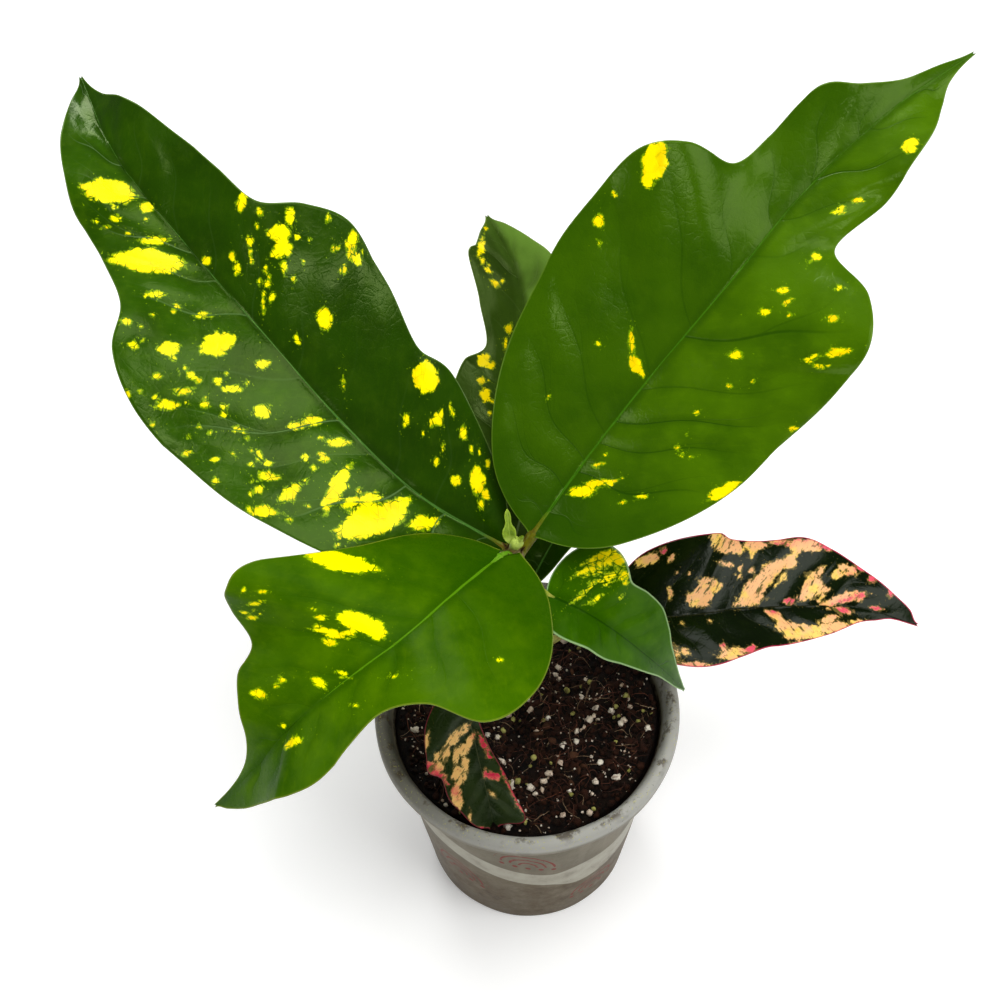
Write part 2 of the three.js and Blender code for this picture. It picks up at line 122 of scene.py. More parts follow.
add_leaf(
    "leaf_back_right", "leaf_green", "fresh",
    stem_height=189, petiole=2, sides=(0.6, 1),
    midrib=[[3, 12, 199], [23, 31, 219], [45, 48, 242], [68, 64, 265], [91, 85, 283], [118, 103, 301],
            [147, 120, 312]],
    facing=[[-0.1, -0.5, 0.86], [-0.05, -0.55, 0.83]],
    widths=[[2, 2], [27, 27], [49, 51], [60, 58], [63, 62], [63, 61], [51, 49], [32, 28], [29, 34],
            [31, 30], [19, 25], [10, 16], [6, 6], [1, 1]],
    angles=[-50, 32, 60], fold=[0.2, 0.06], wave=[2.2, 3, 0.1], grid=(220, 120),
    veins=([0.04, 0.09, 0.14, 0.2, 0.31, 0.41, 0.5, 0.6, 0.69, 0.78, 0.87],
           [0.05, 0.12, 0.18, 0.23, 0.29, 0.39, 0.54, 0.62, 0.7, 0.8, 0.89]),
    marks=[
        (120, -43, 7, 4, -25), (114, -41, 2.5, 2, -45), (95, -45, 2, 1.5, -60), (71, -12, 3.5, 1, -40),
        (66, -6, 4.5, 2, -65), (64, -20, 1, 1, 0), (40, -22, 0.8, 0.6, 0), (90, 18, 2.5, 1.5, 50),
        (80, 23, 1, 1, 0), (86, 28, 0.8, 0.8, 0), (106, 15, 1.5, 0.6, 50), (111, 42, 4, 1.5, 40),
        (103, 37, 1.5, 1, 50), (82, 48, 1.5, 1, 35), (50, 44, 6, 2.5, 20), (21, 6, 4.5, 2, 55),
        (26, 8, 4, 1.5, 40), (29, 12, 2, 1.5, 35), (32, 23, 2, 1, 50), (177, 14, 3, 2.5, -55),
        (152, 16, 1.5, 1, 80),
    ],
    flecks=[(109, 18, 4, 3, 5), (106, 41, 4, 4, 4), (150, 16, 4, 3, 3), (29, 13, 6, 6, 6),
            (98, -42, 8, 4, 3), (122, 26, 7, 7, 4), (50, 26, 12, 9, 5)],
)
add_leaf(
    "leaf_front_left", "leaf_bright", "bright",
    stem_height=193, petiole=1.9, rib=(0.55, 0.75), sides=(0.85, 0.85),
    midrib=[[-9, 1, 199], [-22, -18, 207], [-38, -37, 209], [-56, -49, 203], [-74, -58, 190],
            [-89, -64, 171], [-104, -66, 152]],
    facing=[[0.05, -0.15, 0.98], [-0.3, -0.35, 0.88]],
    widths=[[8, 4], [26, 22], [47, 36], [46, 60], [28, 60], [21, 52], [24, 38], [28, 34], [26, 25],
            [21, 16], [16, 10], [12, 5], [7, 2], [1, 1]],
    angles=[-60, 32, 60], fold=[0.1, 0.05], wave=[2, 2.6, 0.6], grid=(180, 112),
    veins=([0.03, 0.1, 0.17, 0.26, 0.36, 0.46, 0.57, 0.68, 0.79, 0.89],
           [0.04, 0.11, 0.19, 0.28, 0.38, 0.49, 0.6, 0.71, 0.82, 0.91]),
    marks=[
        (46, 32, 12, 3.5, 55), (57, 12, 8.5, 4, 65), (55, 8, 4.5, 3.5, 70), (67, 15, 6.5, 1.5, 50),
        (62, 12, 1.5, 1.5, 0), (76, 45, 1.5, 1, -30), (72, 41, 1.5, 0.8, 35), (78, 39, 2.5, 1, 25),
        (84, 35, 2, 1, 30), (80, 5, 3, 1.5, 70), (72, 2, 2, 1, 65), (99, 15, 2.5, 1.5, 35),
        (74, -9, 1.2, 0.4, 40), (60, -9, 1.2, 0.4, 40), (98, 2, 1, 0.8, 25), (98, -5, 4, 1.5, 20),
        (39, -28, 1, 0.8, 40),
    ],
    flecks=[(78, 41, 5, 5, 5), (62, 19, 6, 5, 7), (96, 14, 5, 3, 3)],
)
add_leaf(
    "leaf_front_right", "leaf_green", "glossy",
    stem_height=170, petiole=1.5, rib=(0.7, 1.3),
    midrib=[[8, -4, 184], [20, -9, 181], [32, -10, 169], [43, -9, 153], [52, -6, 136], [60, -2, 118]],
    facing=[[0.1, -0.4, 0.9], [0.35, -0.6, 0.7]],
    widths=[[2, 5], [24, 12], [20, 13], [22, 13], [22, 11], [18, 9], [13, 7], [10, 5], [7, 4], [4, 3],
            [1, 1]],
    angles=[-55, 32, 60], fold=[0.12, 0.02], wave=[1, 2, 0], grid=(140, 76),
    veins=([0.05, 0.14, 0.24, 0.35, 0.46, 0.58, 0.7, 0.82, 0.92],
           [0.06, 0.16, 0.27, 0.38, 0.5, 0.62, 0.74, 0.86]),
    marks=[
        (11, -20, 7, 1, -50), (14, -20, 6, 1.2, -48), (17, -21, 5, 1.4, -42), (8, -13, 5, 0.8, -55),
        (11, -14, 4, 0.8, -52), (15, -14, 5, 0.9, -50), (20, -17, 2.5, 1.2, -40), (11, -7, 5, 0.6, -65),
        (15, -6, 2.5, 0.7, -55),
    ],
    flecks=[(18, -14, 4, 4, 4)],
)
add_leaf(
    "leaf_back", "leaf_dark", "olive_with_sheen",
    stem_height=175, petiole=1.6,
    midrib=[[-4, 18, 184], [1, 42, 191], [3, 63, 204], [1, 83, 219], [-2, 104, 233], [-13, 122, 246]],
    facing=[[0, -0.5, 0.86], [0, -0.6, 0.8]],
    widths=[[2, 2], [20, 15], [38, 29], [36, 29], [31, 22], [20, 12], [22, 15], [28, 20], [19, 14],
            [10, 8], [1, 1]],
    angles=[-40, 32, 60], fold=[0.12, 0.28], wave=[1.2, 2.5, 0.2], grid=(150, 80),
    veins=NINE_VEINS,
    marks=[
        (114, -10, 7, 1.5, 40), (122, -3, 1, 0.8, 35), (107, -13, 2, 0.8, 25), (99, -7, 1, 0.8, 25),
        (81, -6, 2, 1.5, 5), (76, -8, 2, 0.8, 10), (70, -17, 3.5, 2.5, 40), (68, -14, 2, 1.5, 40),
        (61, -19, 2, 1.5, 15), (56, -18, 2.5, 2, 70), (48, -16, 1, 0.8, 5),
    ],
    flecks=[(99, -10, 5, 2, 3), (58, -17, 5, 3, 4)],
)
add_leaf(
    "leaf_low_right", "leaf_old", "painted",
    stem_height=111, petiole=1.6, bend=[8, 22, 120], rib=(0.5, 1.3),
    midrib=[[34, 27, 127], [58, 24, 129], [83, 28, 128], [108, 32, 124], [132, 35, 119], [156, 31, 112]],
    facing=[[0.05, -0.35, 0.93], [0.15, -0.4, 0.9]],
    widths=[[1, 1], [26, 14], [37, 23], [33, 23], [32, 21], [35, 20], [31, 18], [26, 15], [20, 11],
            [14, 7], [9, 2], [1, 1]],
    angles=[-55, 32, 60], fold=[0.12, 0.06], wave=[1.2, 3, 0.3], grid=(180, 100),
    veins=NINE_VEINS,
    marks=[
        (10, -21, 3.5, 2.5, -20), (14, -23, 2.5, 2.5, 0), (18, -26, 2, 1.5, 70), (22, -9, 2.5, 1, 80),
        (30, -7, 2.5, 1.5, 85), (34, -4, 4, 1.5, 10), (36, -8, 5.5, 4, -5), (38, -13, 4.5, 1.5, 10),
        (42, -10, 2.5, 2.5, 0), (43, -29, 6, 2.5, 20), (48, -26, 8.5, 4, 10), (53, -24, 4, 3.5, 20),
        (47, -18, 4, 1, 20), (61, -24, 4.5, 2.5, 0), (59, -21, 2.5, 1, -70), (70, -25, 4, 1, 0),
        (78, -24, 6, 2, 0), (82, -23, 5.5, 2.5, 0), (89, -23, 2.5, 2, 25), (58, -8, 11, 3.5, -35),
        (65, -14, 7, 3, -30), (72, -17, 5, 2.5, -45), (76, -22, 3, 2.5, -65), (55, -3, 6, 2.5, -5),
        (81, -8, 5.5, 3, -35), (84, -6, 4.5, 2, -10), (80, -4, 3, 1.5, 0), (81, -12, 3, 1.5, 0),
        (92, -12, 3, 2, 0), (97, -14, 5, 2.5, 20), (103, -15, 2, 1.5, -10), (107, -11, 2.5, 1, -30),
        (95, -3, 9, 2, -15), (89, -1, 5.5, 1.5, -10), (101, -4, 2.5, 1, -10), (71, -2, 3, 1.5, 0),
        (73, 10, 11, 3, 10), (86, 9, 10.5, 2, -5), (86, 6, 4.5, 1.5, -10), (67, 8, 5, 2.5, 0),
        (64, 4, 4.5, 2, 35), (69, 12, 4.5, 1.5, 15), (97, 7, 5, 0.8, -15), (93, 2, 4.5, 1.5, 5),
        (108, -1, 2.5, 0.8, -5), (43, 17, 5.5, 2.5, 5), (50, 17, 2.5, 1.5, -15), (40, 14, 1.5, 1.5, 0),
        (31, 19, 5.5, 1, 10), (25, 14, 3, 1, 70), (70, 15, 2, 0.6, 0), (113, -8, 2, 1, -50),
    ],
    flecks=[(60, -18, 8, 5, 8), (74, -10, 8, 6, 8), (30, 8, 7, 8, 7), (60, 10, 10, 5, 5),
            (88, 0, 12, 4, 8), (24, -20, 5, 5, 3)],
    blush=[
        (18, -26, 2.5, 2.5, 0), (88, -23, 3.5, 2.5, 25), (78, -26, 10, 1, 0), (71, -24, 3.5, 1.5, 0),
        (103, -15, 3, 2.5, 0), (107, -11, 4, 2, -20), (113, -8, 3, 2, -50), (98, -11, 2, 1.5, -30),
        (101, -4, 4, 1.5, -10), (95, -2, 8.5, 1, -15), (93, 2, 5.5, 2, -5), (108, -1, 4, 1.5, -15),
        (71, -2, 4, 2, 0), (64, 2, 3, 1.5, 0), (55, 6, 3, 2, -5), (50, 17, 2.5, 2.5, 0),
        (40, 13, 2, 1.5, 15), (31, 20, 6.5, 1, 10), (58, 16, 3.5, 1.5, -10), (70, 15, 3, 1, 0),
    ],
)
add_leaf(
    "leaf_low_front", "leaf_old", "striped",
    stem_height=106, petiole=1.3, bend=[-14, -1, 132], rib=(0.5, 1.3),
    midrib=[[-26, -8, 131], [-21, -20, 124], [-18, -30, 115], [-15, -40, 107], [-13, -48, 101]],
    facing=[[0.1, -0.6, 0.8], [0.1, -0.3, 0.95]],
    widths=[[1, 1], [4, 18], [4, 23], [6, 18], [10, 18], [13, 15], [17, 12], [9, 8], [3, 3]],
    angles=[-40, 28, 55], fold=[0.15, 0.05], wave=[0.8, 2, 0.5], grid=(120, 84),
    veins=SEVEN_VEINS,
    marks=[
        (16, 18, 4, 1, 30), (16, 4, 4, 1.5, 70), (18, 8, 3.5, 2, 60), (22, 12, 4, 2, 25),
        (22, 15, 2, 1.5, -15), (26, 16, 3, 2, -55), (24, 19, 3, 1.5, -60), (28, 17, 3, 1.5, -50),
        (30, 14, 1.5, 1, -60), (27, 19, 3.5, 1, -35), (31, 15, 4, 1, -35), (21, 2, 3.5, 1.5, 40),
        (23, 5, 3, 2, 75), (25, 8, 4, 1.5, 10), (28, 5, 2.5, 1.5, 10), (32, 9, 5, 2, 10),
        (31, 6, 4, 1.5, 20), (38, 11, 4.5, 2, 10), (41, 11, 3, 2, 10), (23, -3, 4, 1, -15),
        (28, -4, 1.5, 1, -45), (34, -1, 2, 1, 15), (35, -3, 2, 1.5, -75), (36, -5, 1.5, 1.5, 0),
        (35, -8, 2.5, 1, -10), (43, -9, 5, 0.5, -15), (48, -10, 1.5, 0.8, -20), (51, -12, 3, 0.8, -40),
        (42, -2, 1.5, 0.6, -30), (48, 8, 2, 0.6, 10), (53, 5, 1.5, 0.6, -75),
    ],
    blush=[
        (25, 20, 4, 1.5, -35), (31, 16, 5, 1.5, -35), (23, -3, 4.5, 1.5, -15), (28, -5, 2, 1.5, -45),
        (35, -4, 3.5, 1.5, -75), (35, -8, 3.5, 1.5, -10), (43, -9, 5, 0.8, -15), (48, -10, 2, 1, -20),
        (52, -12, 2.5, 0.8, -40), (53, 5, 2, 0.8, -75),
    ],
)
add_leaf(
    "leaf_hidden", "leaf_dark", "green",
    stem_height=157, petiole=1.4,
    midrib=[[2, 17, 163], [12, 33, 170], [26, 49, 176], [40, 66, 178], [53, 82, 173]],
    facing=[[0, -0.3, 0.95], [0, -0.3, 0.95]],
    widths=[[5, 3], [14, 6], [17, 11], [17, 15], [14, 15], [12, 12], [9, 10], [5, 6], [1, 1]],
    angles=[-60, 32, 60], fold=[0.12, 0.06], wave=[1, 2, 0.2], grid=(90, 50),
    veins=SEVEN_VEINS,
    marks=[(20, 6, 1.5, 0.8, 40), (31, -5, 2.5, 1, -45), (46, 7, 3, 1.5, 40), (60, -3, 2, 1, -40)],
    flecks=[(34, 4, 9, 6, 6)],
)


def look(**given):
    """A leaf's look. What is given here is what most looks share."""
    return dict(edge_width=0.6, rough=0.17, specks=0.5, ragged=1, tint=(0.75, 1, 0.35, 1)) | given


# What each kind of leaf looks like. Colours are 0 to 255, as seen on a screen.
# dark, main and light are the greens, and mark, mark_deep and speck the patches and the specks round them.
# rib is the midrib and edge the thin line along the margin, edge_width its width in millimetres.
# relief is how deep the veins lie, net how far fine veins cut the patches, ragged how uneven the patches are.
# vein and vein_share are the colour of the side veins and how much it shows.
# painted shade is how much darker the left half, the right half and the foot are painted.
# gloss and tint are the strength and colour of the mirrored light, and blush the red in the patches.
# stalk and stalk_shade are the colours of the petiole.
LOOKS = {
    "green": look(
        dark=(17, 42, 0), main=(40, 76, 0), light=(80, 116, 0), mark=(254, 232, 0), mark_deep=(250, 210, 0),
        speck=(140, 176, 0), rib=(70, 114, 44), edge=(78, 110, 30), vein=(96, 128, 74), vein_share=0.4,
        relief=0.28, net=0.8, specks=0.6, gloss=0.4, shade=(0, 0.5, 0.6),
        stalk=(88, 96, 18), stalk_shade=(104, 88, 26)),
    "fresh": look(
        dark=(32, 66, 0), main=(64, 100, 0), light=(86, 124, 0), mark=(254, 226, 0), mark_deep=(250, 202, 0),
        speck=(130, 170, 0), rib=(58, 108, 12), edge=(90, 122, 30), vein=(26, 60, 0), vein_share=0.8,
        relief=0.22, net=0.6, gloss=0.36, shade=(0.5, 0, 0.8),
        stalk=(92, 92, 14), stalk_shade=(74, 66, 10)),
    "bright": look(
        dark=(26, 64, 0), main=(60, 97, 0), light=(98, 132, 0), mark=(254, 238, 0), mark_deep=(246, 214, 0),
        speck=(150, 186, 0), rib=(82, 130, 12), edge=(112, 130, 34), vein=(44, 84, 0), vein_share=0.3,
        edge_width=0.7, rough=0.28, relief=0.16, net=0.8, gloss=0.05, shade=(0, 0, 0.6),
        stalk=(86, 136, 22), stalk_shade=(104, 140, 40)),
    # Its wide pale edge is partly the leaf's own pale margin and partly a painted highlight along it.
    "glossy": look(
        dark=(26, 62, 0), main=(50, 90, 0), light=(84, 126, 0), mark=(250, 230, 10), mark_deep=(226, 200, 0),
        speck=(150, 180, 20), rib=(22, 56, 0), edge=(148, 178, 124), vein=(30, 66, 0), vein_share=0.5,
        edge_width=0.9, rough=0.16, relief=0.1, net=0.9, specks=0.4, ragged=1.5, gloss=0.05,
        shade=(0, 0, 0.3), stalk=(120, 136, 40), stalk_shade=(140, 140, 60)),
    # A painted sheen: main and light are pale grey-greens that stand for the sheen on the right half, and
    # painted shade darkens the left half.
    "olive_with_sheen": look(
        dark=(22, 40, 0), main=(106, 144, 52), light=(114, 148, 60), mark=(250, 220, 0),
        mark_deep=(216, 186, 0), speck=(130, 150, 10), rib=(104, 122, 74), edge=(108, 130, 60),
        vein=(100, 122, 66), vein_share=0.3,
        edge_width=0.5, rough=0.2, relief=0.2, net=0.6, gloss=0.4, shade=(0.85, 0, 0.6),
        stalk=(88, 92, 40), stalk_shade=(98, 84, 44)),
    "painted": look(
        dark=(3, 9, 0), main=(9, 21, 1), light=(30, 42, 6), mark=(247, 186, 126), mark_deep=(252, 206, 96),
        speck=(120, 104, 50), rib=(40, 40, 14), edge=(208, 50, 92), vein=(34, 44, 14), vein_share=0.4,
        rough=0.15, relief=0.24, net=0.25, ragged=1.6, gloss=0.26, shade=(0, 0, 0.3), tint=(0.95, 1, 0.9, 1),
        blush=(224, 62, 100), blush_soft=(240, 146, 122), blush_share=0.45,
        stalk=(172, 170, 92), stalk_shade=(148, 136, 76)),
    "striped": look(
        dark=(10, 20, 4), main=(28, 42, 10), light=(54, 64, 24), mark=(224, 176, 104),
        mark_deep=(228, 186, 112), speck=(110, 96, 50), rib=(66, 70, 44), edge=(130, 36, 56),
        vein=(50, 56, 30), vein_share=0.4,
        rough=0.28, relief=0.16, net=0.4, specks=0.2, ragged=1.2, gloss=0.2, shade=(0, 0, 0.3),
        tint=(0.9, 1, 0.75, 1), blush=(190, 16, 62), blush_soft=(204, 50, 78), blush_share=0.9,
        stalk=(120, 110, 60), stalk_shade=(110, 84, 50)),
}


def unit(v):
    return v / np.linalg.norm(v, axis=-1, keepdims=True)


def hill(distance, width):
    return np.exp(-(distance / width) ** 2)


def smoothstep(value, low, high):
    k = np.clip((value - low) / (high - low), 0, 1)
    return k * k * (3 - 2 * k)


def hashed(ix, iy, seed):
    """A repeatable number from -1 to 1 for each lattice point."""
    n = np.sin(ix * 127.1 + iy * 311.7 + seed * 74.7) * 43758.5453
    return 2 * (n - np.floor(n)) - 1


def value_noise(x, y, seed):
    ix, iy = np.floor(x), np.floor(y)
    u, v = smoothstep(x - ix, 0, 1), smoothstep(y - iy, 0, 1)
    low = hashed(ix, iy, seed) * (1 - u) + hashed(ix + 1, iy, seed) * u
    high = hashed(ix, iy + 1, seed) * (1 - u) + hashed(ix + 1, iy + 1, seed) * u
    return low * (1 - v) + high * v


def rough_noise(x, y, seed, octaves=3):
    whole = 1 + 1 / 2 + 1 / 4
    return sum(value_noise(x * 2**k, y * 2**k, seed + k) / 2**k for k in range(octaves)) / whole


def curve_through(points, share, open_ends=True):
    """A uniform Catmull-Rom curve, as the solids use: ends carried on for a midrib, doubled for widths."""
    points = np.asarray(points, float)
    count = len(points)
    at = np.clip(np.asarray(share, float), 0, 1) * (count - 1)
    i = np.minimum(at.astype(int), count - 2)
    u = (at - i)[..., None]
    first = 2 * points[0] - points[1] if open_ends else points[0]
    last = 2 * points[-1] - points[-2] if open_ends else points[-1]
    p = np.concatenate([[first], points, [last]])
    a, b, c, d = p[i], p[i + 1], p[i + 2], p[i + 3]
    leave, arrive = 0.5 * (c - a), 0.5 * (d - b)
    return (b + leave * u + (3 * (c - b) - 2 * leave - arrive) * u**2
            + (2 * (b - c) + leave + arrive) * u**3)


def blade_frame(leaf, share):
    step = 1e-3
    middle = curve_through(leaf["midrib"], share)
    ahead = curve_through(leaf["midrib"], np.minimum(share + step, 1))
    along = unit(ahead - curve_through(leaf["midrib"], np.maximum(share - step, 0)))
    base, tip = np.array(leaf["facing"], float)
    face = base + (tip - base) * np.asarray(share)[..., None]
    face = unit(face - (face * along).sum(-1, keepdims=True) * along)
    return middle, along, face, np.cross(along, face)


def half_width(leaf, share, side):
    widths = curve_through(leaf["widths"], share, False)
    return np.where(side < 0, widths[..., 0], widths[..., 1])


def vein_angle(leaf, share):
    base_share = 0.22
    base, main, tip = leaf["angles"]
    near = base + (main - base) * (1 - (1 - np.clip(share / base_share, 0, 1)) ** 2)
    far = main + (tip - main) * (share - base_share) / (1 - base_share)
    return np.radians(np.where(share < base_share, near, far))


def blade_point(leaf, share, spread):
    middle, along, face, across = blade_frame(leaf, share)
    side, out = np.sign(spread), np.abs(spread)
    width = half_width(leaf, share, spread)
    angle = vein_angle(leaf, share)
    base, tip = leaf["fold"]
    rise = width * (base + (tip - base) * share) * (1.5 * out - 0.5 * out**2)
    height, count, phase = leaf["wave"]
    wave = height * np.sin(2 * np.pi * (count * share + phase * side))
    ripple = wave * out**2 * np.minimum(width / 20, 1)
    return (middle + across * (side * width * out * np.cos(angle))[..., None]
            + along * (width * out * np.sin(angle))[..., None] + face * (rise + ripple)[..., None])


def run_of(line):
    """How far along a line each of its points lies."""
    return np.r_[0, np.cumsum(np.linalg.norm(np.diff(line, axis=0), axis=1))]


def flat_place(leaf, share, spread):
    """Where a point of the blade lies when it is laid flat: along and across, in millimetres."""
    samples = 401
    steps = np.linspace(0, 1, samples)
    lengths = run_of(curve_through(leaf["midrib"], steps))
    width = half_width(leaf, share, spread)
    angle = vein_angle(leaf, share)
    along = np.interp(share, steps, lengths) + np.abs(spread) * width * np.sin(angle)
    return along, spread * width * np.cos(angle)


def vein_count(leaf, share, spread):
    """How many main side veins lie behind a point, so that a vein runs where this is whole."""
    bow = 0.03
    waver = 0.006
    left_start = 20
    at = share - bow * spread**2 + waver * np.sin(9 * np.abs(spread) + 31 * share)
    sides = []
    for shares in leaf["veins"]:
        steps = len(shares)
        first, last = 2 * shares[0] - shares[1], 2 * shares[-1] - shares[-2]
        known = [first - 1, first, *shares, last, last + 1]
        jump, jump_end = 1 / (shares[1] - shares[0]), 1 / (shares[-1] - shares[-2])
        counts = [-1 - jump, -1, *range(steps), steps, steps + jump_end]
        sides.append(np.interp(at, known, counts))
    return np.where(spread < 0, sides[0] + left_start, sides[1])


VEIN_TURN = 50
VEIN_LEAN = math.radians(VEIN_TURN)
LEAN_ALONG, LEAN_ACROSS = math.cos(VEIN_LEAN), math.sin(VEIN_LEAN)
# 2 would make the patches oval, and less makes their ends pointed
PATCH_POINT = 1.6
# How far outside every patch a point counts that has none near it
NO_PATCH = -20


def lean_place(along, across):
    """The same place measured along the side veins and square to them."""
    out = np.abs(across)
    return along * LEAN_ALONG + out * LEAN_ACROSS, out * LEAN_ALONG - along * LEAN_ACROSS


def patch_field(patches, along, across, seed):
    """How far inside the nearest patch each point is, in millimetres. Outlines are ragged along the veins."""
    ragged_ends = 0.6
    ragged_flanks = 0.4
    field = np.full(along.shape, float(NO_PATCH))
    p, q = lean_place(along, across)
    side = np.sign(across)
    ends = rough_noise(0.16 * p + 40 * side, 0.7 * q, seed)
    flanks = rough_noise(0.35 * p + 40 * side, 0.35 * q, seed + 50)
    for u, v, length, width, turn in patches:
        end_shift = ragged_ends * min(width, 3.0) * ends
        flank_shift = ragged_flanks * min(width, 2.5) * flanks
        du = along - u + end_shift * LEAN_ALONG - flank_shift * LEAN_ACROSS
        dv = across - v + side * (end_shift * LEAN_ACROSS + flank_shift * LEAN_ALONG)
        c, s = math.cos(math.radians(turn)), math.sin(math.radians(turn))
        a, b = np.abs(du * c + dv * s) / length, np.abs(-du * s + dv * c) / width
        field = np.maximum(field, (1 - (a**PATCH_POINT + b**PATCH_POINT) ** (1 / PATCH_POINT)) * width)
    return field


def with_flecks(leaf, seed):
    """The leaf's patches, with small ones strewn by a seeded rule where it has flecks."""
    random = np.random.default_rng(seed)
    overreach = 1.4
    smallest = 0.55
    growth = 0.8
    longest = 1.9
    patches = list(leaf["marks"])
    for along, across, reach_along, reach_across, count in leaf["flecks"]:
        for _ in range(count):
            u = along + reach_along * random.uniform(-overreach, overreach)
            v = across + reach_across * random.uniform(-overreach, overreach)
            size = smallest + growth * random.random() ** 2
            patches.append((u, v, size * random.uniform(1, longest), size, math.copysign(VEIN_TURN, v)))
    return patches


class Build:
    """Collects points, quads, their places on the bake's map and their values for one mesh."""

    def __init__(self):
        self.points, self.quads, self.places, self.count = [], [], [], 0
        self.values = {}

    def add(self, points, quads, places=(), **values):
        points = np.asarray(points, float).reshape(-1, 3)
        self.points.append(points)
        self.quads.append(np.asarray(quads) + self.count)
        self.places.extend(places)
        for key, value in values.items():
            self.values.setdefault(key, []).append((self.count, value, len(points)))
        self.count += len(points)

    def tube(self, rings, places=(), **values):
        """A surface of closed rings, each given as its points."""
        self.add(rings, grid_quads(len(rings) - 1, len(rings[0]), True), places, **values)

    def mesh(self, name):
        points = np.concatenate(self.points) * MM
        quads = np.concatenate(self.quads)
        mesh = bpy.data.meshes.new(name)
        mesh.vertices.add(len(points))
        mesh.vertices.foreach_set("co", points.astype(np.float32).ravel())
        mesh.loops.add(quads.size)
        mesh.loops.foreach_set("vertex_index", quads.astype(np.int32).ravel())
        mesh.polygons.add(len(quads))
        mesh.polygons.foreach_set("loop_start", np.arange(0, quads.size, quads.shape[1], dtype=np.int32))
        mesh.update(calc_edges=True)
        mesh.validate()
        mesh.shade_smooth()
        if len(self.places) == len(quads):
            layer = mesh.uv_layers.new(name="OFBake")
            layer.data.foreach_set("uv", np.array(self.places, np.float32).ravel())
        for key, runs in self.values.items():
            wide = any(np.ndim(v) == 2 for _, v, _ in runs)
            data = np.zeros((self.count, 3) if wide else self.count, np.float32)
            for start, value, length in runs:
                data[start:start + length] = value
            layer = mesh.attributes.new(key, "FLOAT_VECTOR" if wide else "FLOAT", "POINT")
            layer.data.foreach_set("vector" if wide else "value", data.ravel())
        return mesh


def grid_quads(rows, columns, wrap=False):
    """Quads of a grid of (rows + 1) by (columns + 1) points, or by columns points that close up."""
    width = columns if wrap else columns + 1
    r, c = np.mgrid[:rows, :columns]
    a = r * width + c
    b = r * width + (c + 1) % width
    return np.stack([a, b, b + width, a + width], -1).reshape(-1, 4)


def grid_places(rows, columns, box):
    """Even places on the bake's map for such a grid, inside box (x0, y0, x1, y1)."""
    x0, y0, x1, y1 = box
    r, c = np.mgrid[:rows, :columns]
    corners = [(0, 0), (0, 1), (1, 1), (1, 0)]
    x = np.stack([x0 + (x1 - x0) * (c + dc) / columns for _, dc in corners], -1)
    y = np.stack([y0 + (y1 - y0) * (r + dr) / rows for dr, _ in corners], -1)
    return np.stack([x, y], -1).reshape(-1, 4, 2)


def turns(sides):
    return 2 * np.pi * np.arange(sides) / sides


def tube_rings(centres, radii, up, sides, flatten=1.0):
    """Rings of points round a line. Each turns so that the quads of grid_quads face outward."""
    centres = np.asarray(centres, float)
    along = unit(np.gradient(centres, axis=0))
    across = unit(np.cross(along, np.asarray(up, float)))
    over = np.cross(across, along)
    turn = turns(sides)[None, :, None]
    reach = -np.cos(turn) * across[:, None] + flatten * np.sin(turn) * over[:, None]
    return centres[:, None] + np.asarray(radii, float)[:, None, None] * reach


def capped(rings, centres):
    """The rings of a tube with each end closed at its centre."""
    ends = np.repeat(np.asarray(centres, float)[[0, -1], None], len(rings[0]), 1)
    return np.concatenate([ends[:1], rings, ends[1:]])


def stem_share(height):
    return (np.asarray(height, float) - STEM_BOTTOM) / (STEM_TOP - STEM_BOTTOM)


